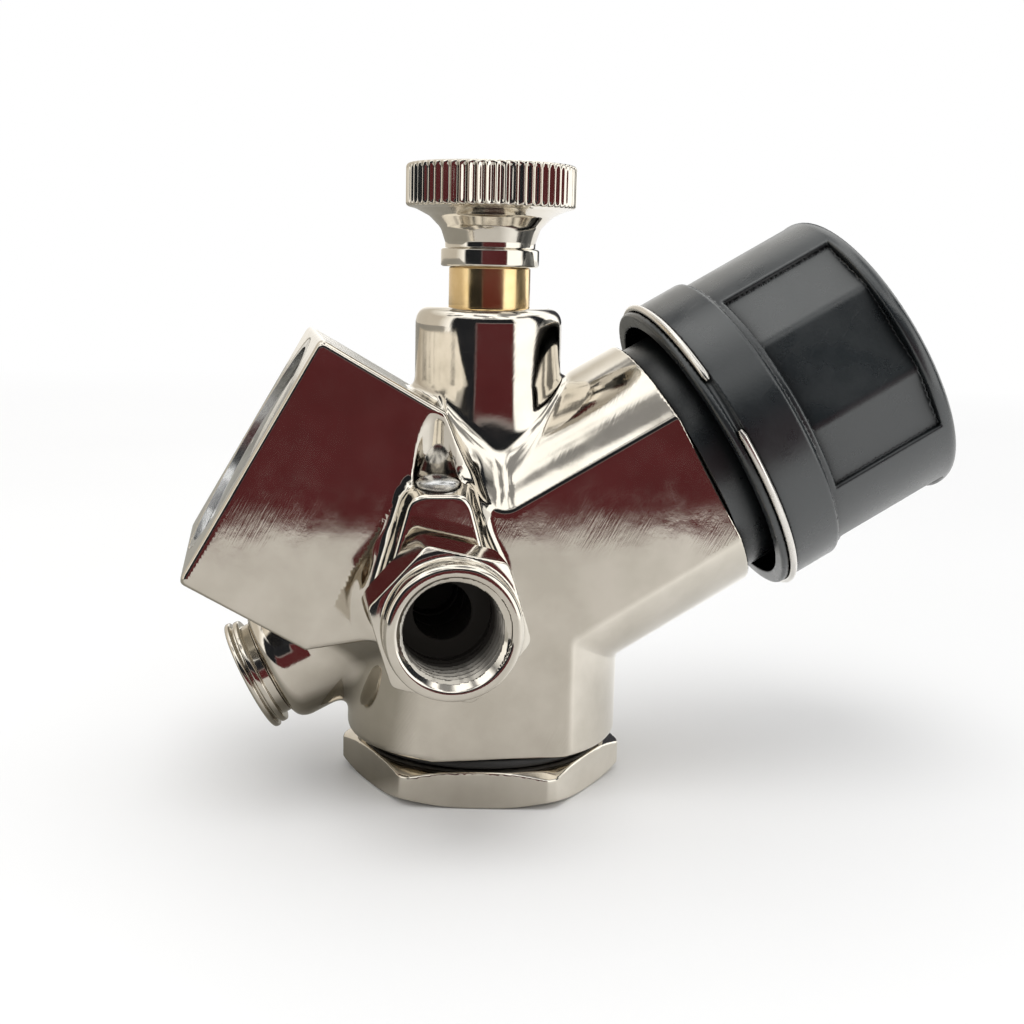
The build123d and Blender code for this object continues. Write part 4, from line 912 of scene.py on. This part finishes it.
RED_INK = plastic("red_ink", (0.42, 0.02, 0.015), (0.50, 0.03, 0.02), (0.45, 0.6), grain=0.000002)
CLEAR = clear("clear_lens")
PORT_METAL = metal("nickel_union", **TURNED)
# painted shade inside the outlet's bore, on the union and on the casting
painted_bore_shade(PORT_METAL, front=-35.2, back=-12.0)
painted_bore_shade(NICKEL, front=-19.0, back=-8.5)

BY_SLOT = {
    "nickel_plate": NICKEL_FINE,
    "black_plastic": BLACK,
    "brass": BRASS,
    "bronze": BRASS,
    "copper": COPPER,
    "seal_rubber": RUBBER,
    "nylon": NYLON,
    "spring_steel": WIRE,
    "steel": STEEL,
    "dial_white": DIAL,
    "pointer_black": INK,
    "clear_lens": CLEAR,
}


def paint(obj, material):
    obj.data.materials.clear()
    obj.data.materials.append(material)


for part in frame["record"]["subparts"]:
    obj, slot = nodes[part["node"]], part["material_slot"]
    paint(obj, BY_SLOT[slot])
    for p in obj.data.polygons:
        p.use_smooth = True
    obj.data.set_sharp_from_angle(angle=math.radians(30))
for name, material, slot in (
    ("regulator_casting", NICKEL, "nickel_plate"),
    ("hex_inlet_nut", NICKEL_FINE, "nickel_plate"),
    ("outlet_union", PORT_METAL, "nickel_plate"),
    ("grip_knob", BLACK, "black_plastic"),
    ("knurled_knob", NICKEL_FINE, "nickel_plate"),
    ("brass_spindle", BRASS, "brass"),
    ("burst_plug", NICKEL_FINE, "nickel_plate"),
    ("domed_plug", STEEL, "steel"),
    ("retaining_wire", WIRE, "spring_steel"),
    ("regulating_coil", WIRE, "spring_steel"),
    ("pin_coil", WIRE, "spring_steel"),
    ("poppet_coil", WIRE, "spring_steel"),
    ("dial_scale", INK, "pointer_black"),
    ("dial_red_arc", RED_INK, "pointer_black"),
):
    paint(made[name], material)


# ------------------------------------------------------------------ floor, light and camera
ROOM_TURN = 10.4        # degrees from -y to the direction the camera looks from


def turned_to_camera(tree, vector):
    node = tree.nodes.new("ShaderNodeVectorRotate")
    node.rotation_type = "Z_AXIS"
    node.inputs["Angle"].default_value = math.radians(ROOM_TURN)
    tree.links.new(vector, node.inputs["Vector"])
    return node.outputs[0]


def bearing_of(tree, x, y):
    """Angle round from the camera's side, positive to the picture's right, in radians."""
    return maths(tree, "ARCTAN2", x, maths(tree, "MULTIPLY", y, -1.0))


def floor_material():
    """Pale floor that fades to white away from the object. In the plating it shows painted
    shade and light: dim in front and to the left, and bright to the right."""
    material, tree, shader, place = tree_of("pale_floor")
    mirrored_ray = tree.nodes.new("ShaderNodeLightPath").outputs["Is Glossy Ray"]
    seen = ramp(tree, noise(tree, place, 3, 2), [(0.3, (0.80, 0.80, 0.80)), (0.7, (0.84, 0.84, 0.84))])
    x, y, _ = separate(tree, turned_to_camera(tree, place.outputs["Object"]))
    bearing = bearing_of(tree, x, y)
    right = spread(tree, bearing, 0.45, 0.95, 0.0, 1.0)
    left = spread(tree, bearing, -0.75, -1.1, 0.0, 1.0)
    # painted shade and light for glossy rays only: the floor is dimmer in the plating, darker to the left
    # and bright to the right
    mirrored_painted_shade = blend_colours(tree, (0.60, 0.585, 0.56), (0.98, 0.98, 0.97), right)
    mirrored_painted_shade = blend_colours(tree, mirrored_painted_shade, (0.26, 0.25, 0.22), left)
    tree.links.new(blend_colours(tree, seen, mirrored_painted_shade, mirrored_ray), shader.inputs["Base Color"])
    shader.inputs["Roughness"].default_value = 0.6
    length = tree.nodes.new("ShaderNodeVectorMath")
    length.operation = "LENGTH"
    tree.links.new(place.outputs["Object"], length.inputs[0])
    far = spread(tree, length.outputs["Value"], 0.12, 0.75, 0.0, 1.0)
    far = maths(tree, "MULTIPLY", far, maths(tree, "SUBTRACT", 1.0, mirrored_ray))
    glow = tree.nodes.new("ShaderNodeEmission")
    fade = tree.nodes.new("ShaderNodeMixShader")
    tree.links.new(far, fade.inputs[0])
    tree.links.new(shader.outputs[0], fade.inputs[1])
    tree.links.new(glow.outputs[0], fade.inputs[2])
    tree.links.new(fade.outputs[0], tree.nodes["Material Output"].inputs["Surface"])
    return material


def make_floor(left, right, front, back):
    """A level floor, its edges in metres."""
    mesh = bpy.data.meshes.new("floor")
    corners = [(left, front, 0), (right, front, 0), (right, back, 0), (left, back, 0)]
    mesh.from_pydata(corners, [], [(0, 1, 2, 3)])
    obj = bpy.data.objects.new("floor", mesh)
    bpy.context.scene.collection.objects.link(obj)
    mesh.materials.append(floor_material())


def background(tree, colour, strength):
    node = tree.nodes.new("ShaderNodeBackground")
    node.inputs["Strength"].default_value = strength
    if isinstance(colour, tuple):
        node.inputs["Color"].default_value = (*colour, 1)
    else:
        tree.links.new(colour, node.inputs["Color"])
    return node.outputs[0]


def studio_world():
    """White to the eye. The plating sees a bright room with dark shapes and a red cloth in it."""
    world = bpy.data.worlds.new("studio")
    bpy.context.scene.world = world
    world.use_nodes = True
    tree = world.node_tree
    tree.nodes.clear()
    coords = tree.nodes.new("ShaderNodeTexCoord")
    direction = turned_to_camera(tree, coords.outputs["Generated"])
    x, y, z = separate(tree, direction)
    azimuth = maths(tree, "MULTIPLY", bearing_of(tree, x, y), 180 / math.pi)
    elevation = maths(tree, "MULTIPLY", maths(tree, "ARCSINE", z), 180 / math.pi)

    def band(value, low, high, soft):
        """1 between low and high, falling to 0 outside over soft degrees."""
        rise = spread(tree, value, low - soft / 2, low + soft / 2, 0, 1)
        fall = spread(tree, value, high - soft / 2, high + soft / 2, 1, 0)
        return maths(tree, "MULTIPLY", rise, fall)

    def patch(under, colour, round_from_to, up_from_to):
        """Lays a soft-edged patch over what is there; each range is (low, high, softness)."""
        where = times(tree, band(azimuth, *round_from_to), band(elevation, *up_from_to))
        return blend_colours(tree, under, colour, where)

    room = patch((1.00, 1.00, 0.98), (0.42, 0.39, 0.34), (-175, -70, 30), (-30, 45, 30))
    # dark shapes overhead, as a room's ceiling has
    cloud = tree.nodes.new("ShaderNodeTexNoise")
    cloud.inputs["Scale"].default_value = 2.6
    cloud.inputs["Detail"].default_value = 2.0
    tree.links.new(direction, cloud.inputs["Vector"])
    shapes = spread(tree, cloud.outputs["Fac"], 0.49, 0.56, 0.0, 0.85)
    overhead = maths(tree, "MULTIPLY", shapes, band(elevation, 40, 86, 6))
    room = blend_colours(tree, room, (0.055, 0.055, 0.06), overhead)
    # black to the left of the camera and over the cloth, the cloth, a black strip to the right
    # and a dark patch behind
    for colour, round_from_to, up_from_to in (
        ((0.010, 0.011, 0.013), (-60, -16, 6), (-25, 38, 8)),
        ((0.010, 0.011, 0.013), (-20, 44, 5), (14, 38, 5)),
        ((0.066, 0.0145, 0.0160), (-18, 42, 3), (-40, 15, 3)),
        ((0.012, 0.014, 0.017), (82, 108, 6), (-5, 50, 10)),
        ((0.03, 0.03, 0.035), (148, 176, 10), (-5, 30, 10)),
    ):
        room = patch(room, colour, round_from_to, up_from_to)
    choose = tree.nodes.new("ShaderNodeMixShader")
    tree.links.new(tree.nodes.new("ShaderNodeLightPath").outputs["Is Glossy Ray"], choose.inputs[0])
    tree.links.new(background(tree, (1.0, 1.0, 1.0), 1.0), choose.inputs[1])
    tree.links.new(background(tree, room, 1.8), choose.inputs[2])
    out = tree.nodes.new("ShaderNodeOutputWorld")
    tree.links.new(choose.outputs[0], out.inputs["Surface"])


def soft_light(name, at, aim, size, power):
    """A round soft light that mirrors don't show."""
    light = bpy.data.lights.new(name, "AREA")
    light.shape = "DISK"
    light.size = size
    light.energy = power
    obj = bpy.data.objects.new(name, light)
    obj.location = at
    obj.rotation_euler = (Vector(aim) - Vector(at)).to_track_quat("-Z", "Y").to_euler()
    bpy.context.scene.collection.objects.link(obj)
    obj.visible_glossy = False


def photo_camera(aim, distance, turn, tilt, roll, lens):
    """Looks at aim (mm) from a distance (mm); angles in degrees, lens in mm on a 36 mm sensor."""
    turn, tilt, roll = math.radians(turn), math.radians(tilt), math.radians(roll)
    back = Vector((-math.sin(turn) * math.cos(tilt), -math.cos(turn) * math.cos(tilt), math.sin(tilt)))
    level = (-back).cross(Vector((0, 0, 1))).normalized()
    upright = level.cross(-back)
    right = level * math.cos(roll) + upright * math.sin(roll)
    up = upright * math.cos(roll) - level * math.sin(roll)
    eye = Vector(aim) * MM + back * distance * MM
    camera = bpy.data.cameras.new("camera")
    camera.sensor_width = 36
    camera.lens = lens
    camera.clip_start = 0.005
    obj = bpy.data.objects.new("camera", camera)
    obj.matrix_world = Matrix((
        (right.x, up.x, back.x, eye.x),
        (right.y, up.y, back.y, eye.y),
        (right.z, up.z, back.z, eye.z),
        (0, 0, 0, 1),
    ))
    bpy.context.scene.collection.objects.link(obj)
    bpy.context.scene.camera = obj


make_floor(left=-2.5, right=2.5, front=-0.21, back=3.5)
studio_world()
soft_light("softbox_top", at=(-0.15, -0.25, 0.9), aim=(0, 0, 0.03), size=0.7, power=3.0)
photo_camera(aim=(3.756, 0, 36.005), distance=195.098, turn=10.359, tilt=9.773, roll=1.331, lens=50.04464)
bpy.context.scene.view_settings.view_transform = "Standard"
